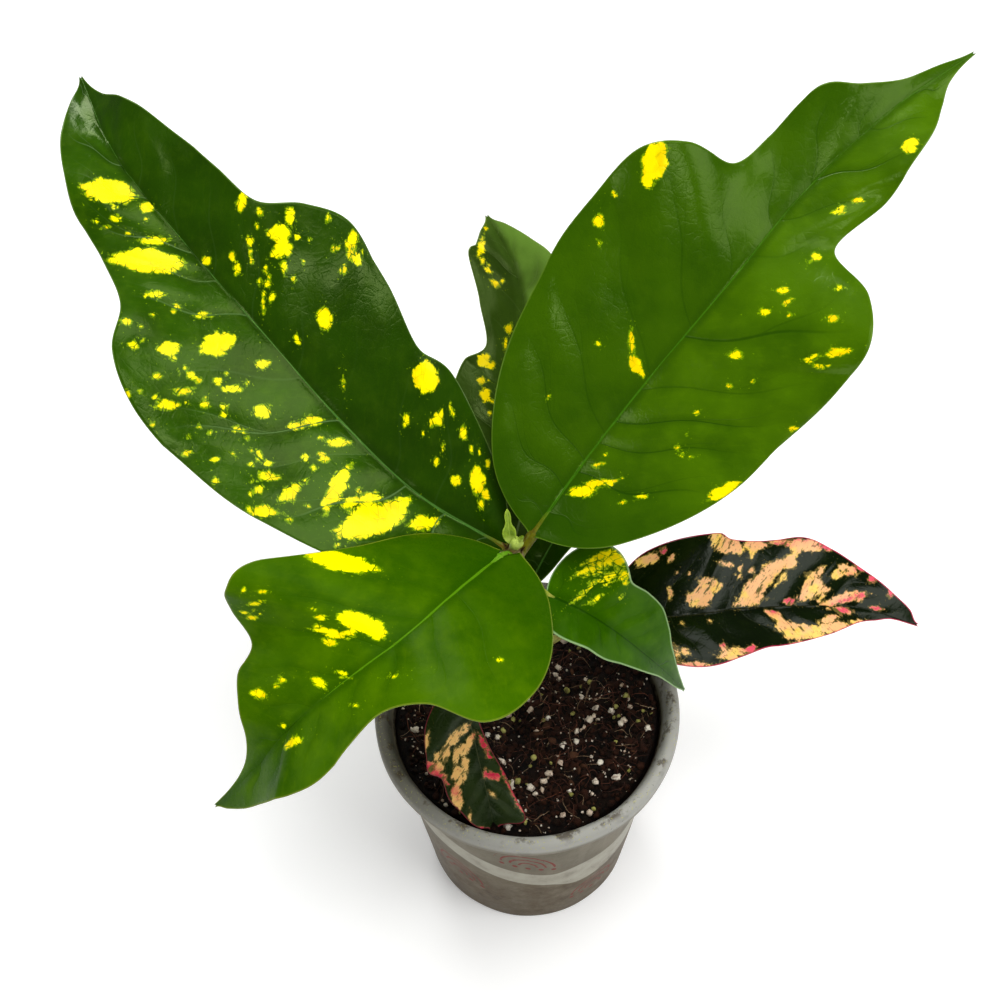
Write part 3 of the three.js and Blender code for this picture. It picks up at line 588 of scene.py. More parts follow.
def blade_into(build, leaf, seed, relief):
    """The blade as a thin sheet: veins sunk above and raised below, with a thinner, rounded margin."""
    rows, columns = leaf["grid"]
    crowding = 1.25
    fork_start = 0.4
    fork_drift = 0.9
    vein_fade = 12
    rib_fading = 0.25
    edge_half = 0.17
    thickening = 0.2
    even = np.linspace(-1, 1, columns + 1)[None, :]
    spread = np.sign(even) * np.abs(even) ** crowding
    share, spread = np.broadcast_arrays(np.linspace(0, 1, rows + 1)[:, None], spread)
    step = 1e-3

    def at(ds, dv):
        return blade_point(leaf, np.clip(share + ds, 0, 1), np.clip(spread + dv, -1, 1))

    normal = unit(np.cross(at(0, step) - at(0, -step), at(step, 0) - at(-step, 0)))
    along, across = flat_place(leaf, share, spread)
    width = half_width(leaf, share, spread)
    out = np.abs(spread)
    from_rib, from_edge = out * width, (1 - out) * width
    broad = smoothstep(width, 3, 16)

    # The side veins, each with a fork towards the margin, and the blade's swell between them
    count = vein_count(leaf, share, spread)
    fork = count - fork_drift * np.maximum(out - fork_start, 0)
    spacing = along.max() / (len(leaf["veins"][0]) + 1)
    to_vein = np.abs(count - np.round(count)) * spacing
    to_fork = np.abs(fork - np.round(fork)) * spacing
    fade = smoothstep(from_edge, 0, vein_fade) * broad
    strong = (0.6 + 0.4 * hashed(np.round(count), 3.0, seed)) * np.where(spread < 0, *leaf["sides"])
    bulge = 0.5 - 0.5 * np.cos(2 * np.pi * count)
    valley = 0.4 * hill(to_vein, 3) + 0.3 * hill(to_vein, 0.8) + 0.3 * hill(to_fork, 1.8)
    surface = relief * fade * (1.2 * bulge - strong * valley)
    surface += 1.8 * relief * rough_noise(along / 24, across / 18, seed + 7, 2) * broad

    # The midrib: a fine ridge in a groove above
    rib_wide, rib_fades = leaf["rib"]
    rib_shows = 1 - smoothstep(share, rib_fades - rib_fading, rib_fades)
    rib_size = leaf["petiole"] * rib_wide
    ridge = smoothstep(width, 2, 8) * (1 - 0.55 * share) * rib_size / 2 * (0.3 + 0.7 * rib_shows)
    surface += ridge * (0.3 * hill(from_rib, 0.7) - 0.35 * hill(from_rib, 2))
    rib_edge = from_rib - rib_size * (0.5 - 0.35 * share) + 1.5 * (1 - rib_shows)

    half_thick = edge_half + thickening * smoothstep(from_edge, 0, 5)
    veins_below = 0.3 * hill(to_vein, 0.8) * fade * smoothstep(from_edge, 0, width * 0.8 + 0.1)
    middle = at(0, 0)
    upper = middle + normal * (surface + half_thick)[..., None]
    lower = middle + normal * (surface - half_thick - veins_below)[..., None]

    def in_rows(*values):
        return np.stack(values, -1).reshape(-1, len(values))

    p, q = lean_place(along, across)
    shared = dict(
        marks=patch_field(with_flecks(leaf, seed), along, across, seed).ravel(),
        blush=patch_field(leaf["blush"], along, across, seed + 3).ravel(),
        flat=in_rows(along, across, np.zeros_like(along)), lean=in_rows(0.3 * p, q, 40 * np.sign(across)),
        veins=in_rows(count, fork, from_rib), margin=from_edge.ravel(), strong=strong.ravel(),
        rib_edge=rib_edge.ravel(), stalk=0)
    # The bake's map: the upper face on its left half, the lower on its right, and the petiole along the foot
    u = (across - across.min()) / np.ptp(across)
    v = (along - along.min()) / np.ptp(along)
    uv = in_rows(0.01 + 0.48 * u, 0.08 + 0.91 * v)
    quads = grid_quads(rows, columns)
    under = quads[:, ::-1]
    build.add(upper, quads, uv[quads], below=0, **shared)
    build.add(lower, under, uv[under] + (0.5, 0), below=1, **shared)
    rim = np.r_[np.arange(columns), np.arange(rows) * (columns + 1) + columns,
                rows * (columns + 1) + np.arange(columns, 0, -1), np.arange(rows, 0, -1) * (columns + 1)]
    after = np.roll(rim, -1)
    size = share.size
    wall = np.stack([rim, rim + size, after + size, after], -1)
    build.add([], wall - 2 * size, np.stack([uv[rim], uv[rim], uv[after], uv[after]], 1))


def petiole_into(build, leaf):
    """The petiole from the stem, carried on as the midrib under the blade."""
    sunk = 0.6
    sunk_rib = 0.98
    rib_end = 0.93
    rib_tip = 0.35
    sides = 14
    stalk_steps = 20
    rib_steps = 60
    foot_flare = 0.35
    joint_flare = 0.18
    pattern_step = 0.9
    pattern_level = 3.0
    middle, along, face, _ = blade_frame(leaf, np.array([0.0]))
    foot = curve_through(STEM_POINTS, stem_share(leaf["stem_height"]))
    joint = middle[0] - face[0] * sunk * leaf["petiole"]
    bend = leaf["bend"] or joint - along[0] * np.linalg.norm(joint - foot) / 2
    k = np.linspace(0, 1, stalk_steps + 1)[:-1, None]
    stalk = foot * (1 - k) ** 2 + 2 * np.asarray(bend, float) * k * (1 - k) + joint * k**2
    flare = 1 + foot_flare * np.exp(-(k[:, 0] * 6) ** 2) + joint_flare * np.exp(-((1 - k[:, 0]) * 7) ** 2)
    share = np.linspace(0, rib_end, rib_steps + 1)
    middle, _, face, _ = blade_frame(leaf, share)
    radii = leaf["petiole"] + (rib_tip - leaf["petiole"]) * np.sqrt(share / rib_end)
    lower = sunk + (sunk_rib - sunk) * smoothstep(share, 0, 0.1)
    centres = np.concatenate([stalk, middle - face * (lower * radii)[:, None]])
    rings = tube_rings(centres, np.concatenate([leaf["petiole"] * flare, radii]), face[0], sides)
    bare = np.repeat(np.r_[np.ones(len(stalk)), 1 - smoothstep(share, 0, 0.06)], sides)
    run = np.repeat(run_of(centres), sides)
    around = np.tile(np.arange(sides) * pattern_step, len(centres))
    flat = np.stack([run, around, np.full(len(run), pattern_level)], -1)
    no_veins = np.full((len(run), 3), (0.5, 0.5, 0))
    build.tube(rings, grid_places(len(centres) - 1, sides, (0.01, 0.005, 0.99, 0.06)),
               marks=NO_PATCH, blush=NO_PATCH, flat=flat, lean=flat, veins=no_veins,
               margin=20, strong=0, rib_edge=-1, below=0, stalk=bare)


def screen(colour):
    """A screen colour of 0 to 255 as the light that it stands for."""
    share = np.asarray(colour, float) / 255
    linear = np.where(share <= 0.04045, share / 12.92, ((share + 0.055) / 1.055) ** 2.4)
    return (*linear, 1.0)


class Value:
    """A number or colour that nodes work out. Numbers are joined with +, -, * and /."""

    def __init__(self, surface, socket):
        self.surface, self.socket = surface, socket

    def __add__(self, other):
        return self.surface.math("ADD", self, other)

    def __sub__(self, other):
        return self.surface.math("SUBTRACT", self, other)

    def __rsub__(self, other):
        return self.surface.math("SUBTRACT", other, self)

    def __mul__(self, other):
        return self.surface.math("MULTIPLY", self, other)

    def __truediv__(self, other):
        return self.surface.math("DIVIDE", self, other)

    def __abs__(self):
        return self.surface.math("ABSOLUTE", self)


class Surface:
    """A material built from nodes, with the colours and patterns as short calls."""

    def __init__(self, name):
        self.material = bpy.data.materials.new(name)
        self.material.use_nodes = True
        self.tree = self.material.node_tree
        self.tree.nodes.clear()
        self.output = self.tree.nodes.new("ShaderNodeOutputMaterial")

    def put(self, value, socket):
        if isinstance(value, Value):
            self.tree.links.new(value.socket, socket)
        else:
            socket.default_value = value

    def node(self, kind, inputs, output=0, **settings):
        """What a new node gives."""
        made = self.tree.nodes.new(kind)
        for key, value in settings.items():
            setattr(made, key, value)
        for key, value in inputs.items():
            self.put(value, made.inputs[key])
        return Value(self, made.outputs[output])

    def math(self, operation, a, b=0):
        return self.node("ShaderNodeMath", {0: a, 1: b}, operation=operation)

    def most(self, a, b):
        return self.math("MAXIMUM", a, b)

    def ramp(self, value, low, high, start=0, end=1):
        inputs = {"Value": value, "From Min": low, "From Max": high, "To Min": start, "To Max": end}
        return self.node("ShaderNodeMapRange", inputs, interpolation_type="SMOOTHSTEP")

    def mix(self, share, a, b):
        a, b = (c if isinstance(c, Value) else screen(c) for c in (a, b))
        return self.node("ShaderNodeMix", {"Factor": share, "A": a, "B": b}, "Result", data_type="RGBA")

    def start(self, share, a, b):
        """The surface's first colour."""
        self.colour = self.mix(share, a, b)

    def paint(self, share, colour):
        """Lays a colour over those that the surface has."""
        self.colour = self.mix(share, self.colour, colour)

    def noise(self, at, scale, detail=2, rough=0.5):
        inputs = {"Vector": at, "Scale": scale, "Detail": detail, "Roughness": rough}
        return self.node("ShaderNodeTexNoise", inputs, "Fac")

    def cells(self, at, scale, feature="F1"):
        return self.node("ShaderNodeTexVoronoi", {"Vector": at, "Scale": scale}, "Distance", feature=feature)

    def read(self, name, output="Fac"):
        return self.node("ShaderNodeAttribute", {}, output, attribute_name=name)

    def parts(self, vector):
        return [self.node("ShaderNodeSeparateXYZ", {0: vector}, k) for k in range(3)]

    def whole(self, value):
        """How far a value is from the nearest whole number."""
        return abs(self.math("FRACT", value + 0.5) - 0.5)

    def object_place(self, scale=1000):
        """The place on the object, in millimetres."""
        place = self.node("ShaderNodeTexCoord", {}, "Object")
        return self.node("ShaderNodeVectorMath", {0: place, 1: (scale,) * 3}, operation="MULTIPLY")

    def finish(self, roughness, height=None, **constants):
        """The finished material, with its relief from a height in millimetres."""
        made = self.node("ShaderNodeBsdfPrincipled", {"Base Color": self.colour, "Roughness": roughness})
        shader = made.socket.node
        for key, value in constants.items():
            self.put(value, shader.inputs[key.replace("_", " ")])
        if height:
            bump = self.node("ShaderNodeBump", {"Height": height, "Strength": 1, "Distance": MM})
            self.put(bump, shader.inputs["Normal"])
        self.put(made, self.output.inputs["Surface"])
        return self.material


UNDERSIDE = (132, 150, 92)
UNDERSIDE_VEIN = (170, 182, 124)
RED_FLECK = (150, 50, 36)


def leaf_material(name, look):
    s = Surface(name)
    flat, lean = s.read("flat", "Vector"), s.read("lean", "Vector")
    count, fork, from_rib = s.parts(s.read("veins", "Vector"))
    along, across, _ = s.parts(flat)
    marks, margin, below = s.read("marks"), s.read("margin"), s.read("below")
    patchy = s.noise(flat, 0.13, 4, 0.6)
    fine = s.noise(flat, 0.75, 3, 0.6)
    grain = s.noise(flat, 2.6)
    streaky = s.noise(lean, 0.7, 3, 0.6)
    net = s.cells(flat, 0.3, "DISTANCE_TO_EDGE")

    # The green: cloudy, with painted shade on the halves, at the foot, in the valleys and beside the midrib,
    # and with the veins and the midrib on it
    way = from_rib / (from_rib + margin + 0.01)
    strong = s.read("strong") * s.ramp(way, 0.95, 0.45)
    forked = s.ramp(s.whole(fork), 0.022, 0.006) * strong
    lines = s.most(s.ramp(s.whole(count), 0.03, 0.008) * strong, forked * 0.5)
    s.start(s.ramp(s.noise(flat, 0.045, 3), 0.28, 0.66, 0.4), look["dark"], look["main"])
    s.paint(s.ramp(patchy, 0.42, 0.8) * 0.24, look["light"])
    s.paint(s.ramp(streaky, 0.5, 0.8) * 0.16, look["light"])
    # Painted shade: the left half, the right half and the foot are darkened by the look's shares
    left_shade, right_shade, foot_shade = look["shade"]
    shade = s.most(s.ramp(across, -4, 4, left_shade, right_shade), s.ramp(along, 55, 5, 0, foot_shade))
    s.paint(shade, look["dark"])
    # Painted shade in the valleys between the side veins and beside the midrib
    valley = s.ramp(s.whole(count), 0.26, 0) * (strong * 0.5)
    s.paint(s.most(valley, s.ramp(from_rib, 5, 0.9, 0, 0.5)), look["dark"])
    s.paint(lines * look["vein_share"], look["vein"])
    s.paint(s.ramp(s.read("rib_edge"), 0.15, -0.15) * 0.85, look["rib"])

    # The patches: ragged edges, green net veins across them and loose specks around them
    ragged = (streaky - 0.5) * (1.1 * look["ragged"]) + (fine - 0.5) * (1.6 * look["ragged"])
    cut = s.most(s.ramp(net, 0.06, 0, 0, 0.8), lines)
    netted = marks + ragged + (grain - 0.5) * 0.7 - cut * look["net"]
    cracked = s.ramp(net, 0.05, 0) * s.ramp(patchy, 0.46, 0.62, 0, 0.7 * look["net"])
    inside = s.ramp(netted, -0.05, 0.3) * (1 - cracked)
    specks = s.ramp(marks + s.ramp(fine, 0.54, 0.72) * 4.8, 1.2, 2.2) * look["specks"]
    specks = specks * s.ramp(grain, 0.42, 0.55)
    s.paint(s.most(specks, s.ramp(netted, -0.55, 0.05, 0, 0.75)), look["speck"])
    deep = s.noise(flat, 0.13) + s.ramp(netted, 0.6, 0, 0, 0.12)
    mark = s.mix(s.ramp(deep, 0.5, 0.68), look["mark"], look["mark_deep"])
    if "blush" in look:
        blush = s.read("blush") + (fine - 0.5) * 4
        mark = s.mix(s.ramp(blush, -3, 0.5, 0, look["blush_share"]), mark, look["blush_soft"])
        mark = s.mix(s.ramp(blush, -0.4, 1.4, 0, 0.9), mark, look["blush"])
        mark = s.mix(s.ramp(s.noise(lean, 1.9), 0.6, 0.7, 0, 0.8), mark, RED_FLECK)
        inside = inside * (1 - s.ramp(s.noise(lean, 0.42, 4, 0.7), 0.575, 0.6))
    s.paint(inside, mark)

    # The margin's line, the paler underside and the petiole
    s.paint(s.ramp(margin, look["edge_width"], 0.3 * look["edge_width"], 0, 0.75), look["edge"])
    s.paint(below * 0.5, UNDERSIDE)
    s.paint(below * lines * 0.55, UNDERSIDE_VEIN)
    woody = s.mix(s.ramp(s.noise(flat, 0.5, 3), 0.4, 0.65), look["stalk"], look["stalk_shade"])
    s.paint(s.read("stalk"), woody)
    height = lines * -0.06 + s.ramp(net, 0.12, 0) * -0.012 + grain * 0.015 + patchy * 0.16
    rough = (patchy - 0.5) * 0.2 + (fine - 0.5) * 0.1 + look["rough"] + below * 0.25
    return s.finish(rough, height, Specular_IOR_Level=look["gloss"], Specular_Tint=look["tint"])


def piece(name, mesh, material, slot, *replaced):
    """A shown piece that rides with the plant."""
    made = bpy.data.objects.new(name, mesh)
    bpy.context.scene.collection.objects.link(made)
    mesh.materials.clear()
    mesh.materials.append(material)
    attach(made, "root")
    if replaced:
        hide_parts(*replaced)


leaf_materials = {key: leaf_material("leaf_" + key, look) for key, look in LOOKS.items()}
for number, (name, leaf) in enumerate(LEAVES.items()):
    build = Build()
    blade_into(build, leaf, SEED + 10 * number, LOOKS[leaf["looks"]]["relief"])
    petiole_into(build, leaf)
    piece("fine_" + name, build.mesh(name), leaf_materials[leaf["looks"]], leaf["slot"], name)


# The pot, turned from the solids' own profile with its corners rounded
def rounded(profile, times):
    points = np.asarray(profile, float)
    for _ in range(times):
        a, b = points[:-1], points[1:]
        cut = np.stack([0.75 * a + 0.25 * b, 0.25 * a + 0.75 * b], 1).reshape(-1, 2)
        points = np.concatenate([points[:1], cut, points[-1:]])
    return points


def turned_points(profile, sides, uneven=None):
    turn = turns(sides)
    radius, height = np.repeat(profile[:, :1], sides, 1), np.repeat(profile[:, 1:], sides, 1)
    if uneven:
        radius = radius + uneven(turn[None, :], height) * (radius > 1)
    return np.stack([radius * np.cos(turn), radius * np.sin(turn), height], -1)


def cut_holes(mesh):
    """The mesh with the drain holes cut through the recess under the pot."""
    sides = 24
    weld = 1e-6
    cutter = Build()
    for k in range(DRAIN_HOLES):
        turn = 2 * np.pi * (k + 0.5) / DRAIN_HOLES
        x, y = DRAIN_CIRCLE * math.cos(turn), DRAIN_CIRCLE * math.sin(turn)
        line = [(x, y, z) for z in (RECESS - 2, RECESS, RECESS + 2)]
        cutter.tube(capped(tube_rings(line, [DRAIN_RADIUS] * 3, (0, 1, 0), sides), line))
    tools = [bpy.data.objects.new("pot_tool", m) for m in (mesh, cutter.mesh("holes"))]
    for tool in tools:
        bpy.context.scene.collection.objects.link(tool)
        clean = bmesh.new()
        clean.from_mesh(tool.data)
        bmesh.ops.remove_doubles(clean, verts=clean.verts, dist=weld)
        clean.to_mesh(tool.data)
        clean.free()
    cut = tools[0].modifiers.new("holes", "BOOLEAN")
    cut.object = tools[1]
    cut.solver = "EXACT"
    bpy.context.view_layer.update()
    made = bpy.data.meshes.new_from_object(tools[0].evaluated_get(bpy.context.evaluated_depsgraph_get()))
    for tool in tools:
        bpy.data.objects.remove(tool)
    made.shade_smooth()
    return made


POT_PROFILE = [
    (0, 0), (PAD_RADIUS, 0), (PAD_RADIUS + 2, RECESS), (FOOT_INNER - 2, RECESS), (FOOT_INNER, 0),
    (BASE_RADIUS - 0.8, 0), (BASE_RADIUS, 1), (WALL_TOP + WALL, LIP_UNDERSIDE - 1),
    (LIP_INNER + 0.9, POT_HEIGHT - 3.8), (LIP_INNER + 2.3, POT_HEIGHT - 1.1),
    (LIP_RADIUS - 1.2, POT_HEIGHT - 2), (LIP_RADIUS - 1.1, LIP_UNDERSIDE), (LIP_RADIUS - 0.1, LIP_UNDERSIDE),
    (LIP_RADIUS, POT_HEIGHT - 2.5), (LIP_RADIUS - 0.7, POT_HEIGHT - 0.7), (LIP_RADIUS - 2, POT_HEIGHT),
    (LIP_RADIUS - 3.4, POT_HEIGHT - 0.1), (LIP_INNER + 0.5, POT_HEIGHT - 1.4),
    (LIP_INNER - 0.1, POT_HEIGHT - 2.8), (WALL_TOP, LIP_UNDERSIDE - 0.5), (WALL_FOOT, PAD_TOP + 1),
    (WALL_FOOT - 0.5, PAD_TOP), (FOOT_INNER + 1.2, PAD_TOP), (FOOT_INNER - 1.1, RECESS_TOP),
    (PAD_RADIUS + 1.1, RECESS_TOP), (PAD_RADIUS - 1, PAD_TOP), (0, PAD_TOP),
]


def pot_mesh():
    sides = 220
    step = 8
    corner = 1.5
    finer = []
    for (r0, z0), (r1, z1) in zip(POT_PROFILE, POT_PROFILE[1:]):
        length = math.hypot(r1 - r0, z1 - z0)
        steps = max(1, int(length / step))
        shares = [k / steps for k in range(steps)]
        if length > 4 * corner:
            shares = [0, corner / length, *shares[1:], 1 - corner / length]
        finer += [(r0 + (r1 - r0) * k, z0 + (z1 - z0) * k) for k in shares]

    def uneven(turn, height):
        wall = 0.10 * np.sin(3 * turn + height / 17) + 0.06 * np.sin(7 * turn - height / 9)
        return wall + 0.05 * np.sin(11 * turn + 2 + height / 31)

    build = Build()
    profile = rounded(finer + [POT_PROFILE[-1]], 2)
    build.tube(turned_points(profile, sides, uneven))
    return cut_holes(build.mesh("pot"))


def pot_material():
    s = Surface("pot_grey")
    place = s.object_place()
    x, y, z = s.parts(place)
    turn = s.math("ARCTAN2", y, x)
    radius = s.math("SQRT", x * x + y * y)
    cloudy = s.noise(place, 0.035, 3)
    blotchy = s.noise(place, 0.11, 4, 0.65)
    fine = s.noise(place, 0.6, 3, 0.6)
    streaks = s.noise(s.node("ShaderNodeCombineXYZ", {0: turn * 9, 1: z * 0.02}), 1, 4)
    s.start(s.ramp(cloudy, 0.35, 0.65), (98, 92, 77), (119, 112, 96))
    s.paint(s.ramp(streaks, 0.45, 0.7, 0, 0.25), (132, 126, 110))
    s.paint(s.ramp(z, 70, 34) * s.ramp(blotchy, 0.3, 0.6, 0.45, 0.95), (84, 72, 54))

    # A paler band that sweeps round the wall, wider at the front right
    wall_middle = 43.2
    wall_slope = 0.1
    band_height = 56
    band_sweep = 11
    band_half = 6.6
    outer = s.math("GREATER_THAN", radius, z * wall_slope + wall_middle)
    middle = s.math("SINE", turn * 2 + 0.5) * band_sweep + band_height
    wider = s.ramp(s.math("COSINE", turn + 0.85), 0.86, 0.98, 0, 4.5)
    band = s.ramp(abs(z - middle) - wider, band_half, band_half - 0.5) * outer
    s.paint(band * s.ramp(blotchy, 0.3, 0.7, 0.95, 0.65), (162, 159, 145))

    # Red-brown line print: nested arches over a row of dots, in one ring above the band and one below it
    cells = 5
    cell_turn = 0.75
    arch_gap = 3.4
    arch_reach = 13
    dot_gap = 5
    dots_down = 2.6
    cell = turn * (cells / (2 * math.pi)) + cell_turn
    print_on = 0
    for shift, girth, level in ((0, 49, 16), (0.5, 47, -27)):
        along = (s.math("FRACT", cell + shift) - 0.5) * (2 * math.pi * girth / cells)
        rise = z - (middle + level)
        reach = s.math("SQRT", along * along + rise * rise)
        wobble = reach + (s.noise(place, 0.25) - 0.5) * 1.2
        arch = s.ramp(s.whole(wobble / arch_gap) * arch_gap, 0.6, 0.34)
        arch = arch * s.ramp(reach, arch_reach + 0.2, arch_reach)
        arch = arch * (s.ramp(reach, 2.4, 2.6) * s.ramp(rise, -0.2, 0.1))
        to_dot = s.whole(along / dot_gap) * dot_gap
        down = rise + dots_down
        dots = s.ramp(to_dot * to_dot + down * down, 1.4, 0.8)
        dots = dots * s.ramp(abs(along), arch_reach, arch_reach - 0.2)
        print_on = s.most(print_on, s.most(arch, dots))
    print_on = print_on * outer * s.ramp(fine, 0.3, 0.5, 0.65, 1) * s.ramp(z, 94, 92)
    s.paint(print_on, (112, 42, 36))

    # The lip is paler, with painted light at the front right and painted shade at the back left.
    # The inside under the lip is darker in clouds, and dirt lies low down and in spots.
    lip_light_and_shade = s.mix(s.ramp(s.math("COSINE", turn + 0.9), -0.2, 0.95), (102, 101, 93), (163, 163, 157))
    s.paint(s.ramp(z, 97.5, 101, 0, 0.85), lip_light_and_shade)
    inner = s.ramp(z, 103.5, 97) * (1 - outer)
    s.paint(inner * s.ramp(s.noise(place, 0.3, 4, 0.7), 0.36, 0.6, 0.3), (48, 38, 30))
    spots = s.ramp(s.noise(place, 0.9, 4, 0.75), 0.63, 0.7) * s.ramp(s.noise(place, 0.05), 0.42, 0.56)
    s.paint(spots * 0.85, (46, 34, 25))
    s.paint(s.ramp(blotchy, 0.56, 0.7, 0, 0.5) * s.ramp(z, 20, 60, 1, 0.35), (50, 40, 29))
    grime = s.ramp(s.noise(place, 0.11, 5, 0.75), 0.5, 0.62, 0, 0.8) * s.ramp(radius, 59.5, 57.5)
    s.paint(grime * s.ramp(z, 98, 100), (74, 64, 52))
    yellow = s.ramp(s.noise(place, 1.3), 0.64, 0.7) * s.ramp(z, 99, 102)
    s.paint(yellow * 0.7, (180, 176, 90))
    rough = fine * 0.2 + cloudy * 0.2 + 0.18
    return s.finish(rough, fine * 0.06 + cloudy * 0.5, Specular_IOR_Level=0.03)


piece("fine_pot", pot_mesh(), pot_material(), "pot_plastic", "pot")


# The soil: an uneven bed with crumbs, perlite, bark, granules and fibres in it
def soil_height(x, y):
    swell = 0.7 * np.sin(x / 9 + 1) * np.cos(y / 11)
    crumbs = 0.5 * np.sin(x / 2.7 + y / 4.1) * np.cos(y / 3.1 - x / 6.3)
    lumps = 0.9 * rough_noise(x / 5.5, y / 5.5, 3) + 0.5 * rough_noise(x / 1.7, y / 1.7, 5)
    heaped = 4 * smoothstep(x + 0.4 * y, 15, 52)
    return SOIL_LEVEL + swell + crumbs + lumps + heaped


def wall_inside(height):
    share = (height - PAD_TOP - 1) / (LIP_UNDERSIDE - 0.5 - PAD_TOP - 1)
    return WALL_FOOT + (WALL_TOP - WALL_FOOT) * share


def soil_mesh():
    sides = 260
    rings = 96
    low = PAD_TOP + SEAT_GAP
    over = RECESS_TOP + SEAT_GAP
    chamfer_top = PAD_TOP + 1.4
    top = SOIL_LEVEL - 1.6
    reach = wall_inside(top) - SEAT_GAP
    first_ring = 0.997
    skirt = np.array([(0, low), (PAD_RADIUS - 1.4, low), (PAD_RADIUS + 0.7, over), (FOOT_INNER - 0.7, over),
                      (FOOT_INNER + 1.6, low), (WALL_FOOT - 1, low),
                      (wall_inside(chamfer_top) - SEAT_GAP, chamfer_top), (reach, top)])
    shares = np.linspace(first_ring, 0, rings)
    bed = turned_points(np.stack([reach * shares, np.full(rings, top)], -1), sides)
    rise = smoothstep(reach * (1 - shares), 0, 1.2)[:, None]
    bed[..., 2] = top + (soil_height(bed[..., 0], bed[..., 1]) - top) * rise
    build = Build()
    build.tube(np.concatenate([turned_points(skirt, sides), bed]))
    return build.mesh("soil")


def darker(colour, share):
    return tuple(c * share for c in colour)


def soil_material(name, dark, light, scale, wet, tint=None):
    s = Surface(name)
    place = s.object_place()
    clods = s.noise(place, 0.22 * scale, 5, 0.7)
    grit = s.noise(place, 1.3 * scale, 4, 0.75)
    s.start(s.ramp(clods, 0.4, 0.66), dark, light)
    s.paint(s.ramp(grit, 0.58, 0.8, 0, 0.55), light)
    s.paint(s.ramp(grit, 0.46, 0.3, 0, 0.75), darker(dark, 0.35))
    if tint:
        s.paint(s.read("tint") * 0.8, tint)
    rough = s.ramp(grit, 0.3, 0.7, 0.95 - wet, 0.75 - wet)
    return s.finish(rough, clods * 1.1 + grit * 0.55, Specular_IOR_Level=0.2)


def fibre_material(name, dark, light):
    s = Surface(name)
    grit = s.noise(s.object_place(), 1.6, 3, 0.6)
    s.start(s.read("tint"), dark, light)
    s.paint(s.ramp(grit, 0.4, 0.7, 0, 0.5), darker(dark, 0.45))
    return s.finish(s.ramp(grit, 0.3, 0.7, 0.7, 0.9), grit * 0.1)


def mineral_material(name, pale, shade, stain):
    s = Surface(name)
    place = s.object_place()
    pits = s.noise(place, 1.8, 4, 0.7)
    s.start(s.read("tint"), pale, shade)
    s.paint(s.ramp(pits, 0.45, 0.3, 0, 0.5), stain)
    s.paint(s.ramp(s.noise(place, 0.55, 3, 0.6), 0.52, 0.66, 0, 0.75), stain)
    return s.finish(s.ramp(pits, 0.3, 0.7, 0.95, 0.7), pits * 0.5)


def lump_shape(subdivisions):
    ball = bmesh.new()
    bmesh.ops.create_icosphere(ball, subdivisions=subdivisions, radius=1.0)
    points = np.array([v.co for v in ball.verts])
    faces = np.array([[v.index for v in f.verts] for f in ball.faces])
    ball.free()
    return points, faces


def turned_at_random(random):
    axis = unit(random.normal(size=3))
    return np.array(Matrix.Rotation(random.uniform(0, 2 * np.pi), 3, Vector(axis)))


def place_at_random(random, reach):
    turn = random.uniform(0, 2 * np.pi)
    distance = reach * math.sqrt(random.random())
    return distance * math.cos(turn), distance * math.sin(turn)


def scatter(name, material, count, sizes, squash, sunk, fineness, seed, roughness, reach=BED_REACH,
            tints=(0, 1)):
    """Many small lumps, half sunk in the bed, each turned, stretched and roughened by a seeded rule."""
    random = np.random.default_rng(SEED + seed)
    shape, faces = lump_shape(fineness)
    build = Build()
    made = 0
    while made < count:
        size = sizes[0] + (sizes[1] - sizes[0]) * random.random() ** 2
        x, y = place_at_random(random, reach - size)
        if math.hypot(x - STEM_FOOT[0], y - STEM_FOOT[1]) <= STEM_RADII[0] + STEM_ROOM + size:
            continue
        stretch = np.array([1, random.uniform(0.65, 1), random.uniform(*squash)]) * size
        rough = 1 + roughness * random.uniform(-1, 1, (len(shape), 1))
        points = (shape * rough * stretch) @ turned_at_random(random).T
        points += (x, y, float(soil_height(x, y)) + (0.5 - sunk) * size)
        build.add(points, faces, tint=random.uniform(*tints))
        made += 1
    piece(name, build.mesh(name), material, "soil")


def fibres(name, material, count, lengths, radii, lift, seed):
    """Curved fibres that lie over the bed, their middles a little raised and their ends in it."""
    random = np.random.default_rng(SEED + seed)
    build = Build()
    steps = 12
    sides = 5
    middle_reach = 47
    wander = 0.22
    most_bend = 0.9
    even = np.linspace(-1, 1, steps)
    for _ in range(count):
        length = random.uniform(*lengths)
        middle = place_at_random(random, middle_reach)
        heading = random.uniform(0, 2 * np.pi) + np.cumsum(random.normal(0, wander, steps))
        heading = heading + even * random.uniform(-most_bend, most_bend)
        line = np.cumsum(np.stack([np.cos(heading), np.sin(heading)], -1), 0) * length / steps
        line -= line.mean(0) - middle
        line *= np.minimum(1, BED_REACH / np.linalg.norm(line, axis=1, keepdims=True))
        arch = np.sin(np.linspace(0, np.pi, steps)) * random.uniform(*lift)
        radius = random.uniform(*radii)
        height = soil_height(line[:, 0], line[:, 1]) + arch - 0.5 * radius
        height = np.convolve(np.pad(height, 1, "edge"), [0.25, 0.5, 0.25], "valid")
        thin = radius * (0.45 + 0.55 * np.sin(np.linspace(0.25, 2.9, steps)))
        rings = tube_rings(np.column_stack([line, height]), thin, (0, 0.02, 1), sides)
        build.tube(rings, tint=random.random())
    piece(name, build.mesh(name), material, "soil")


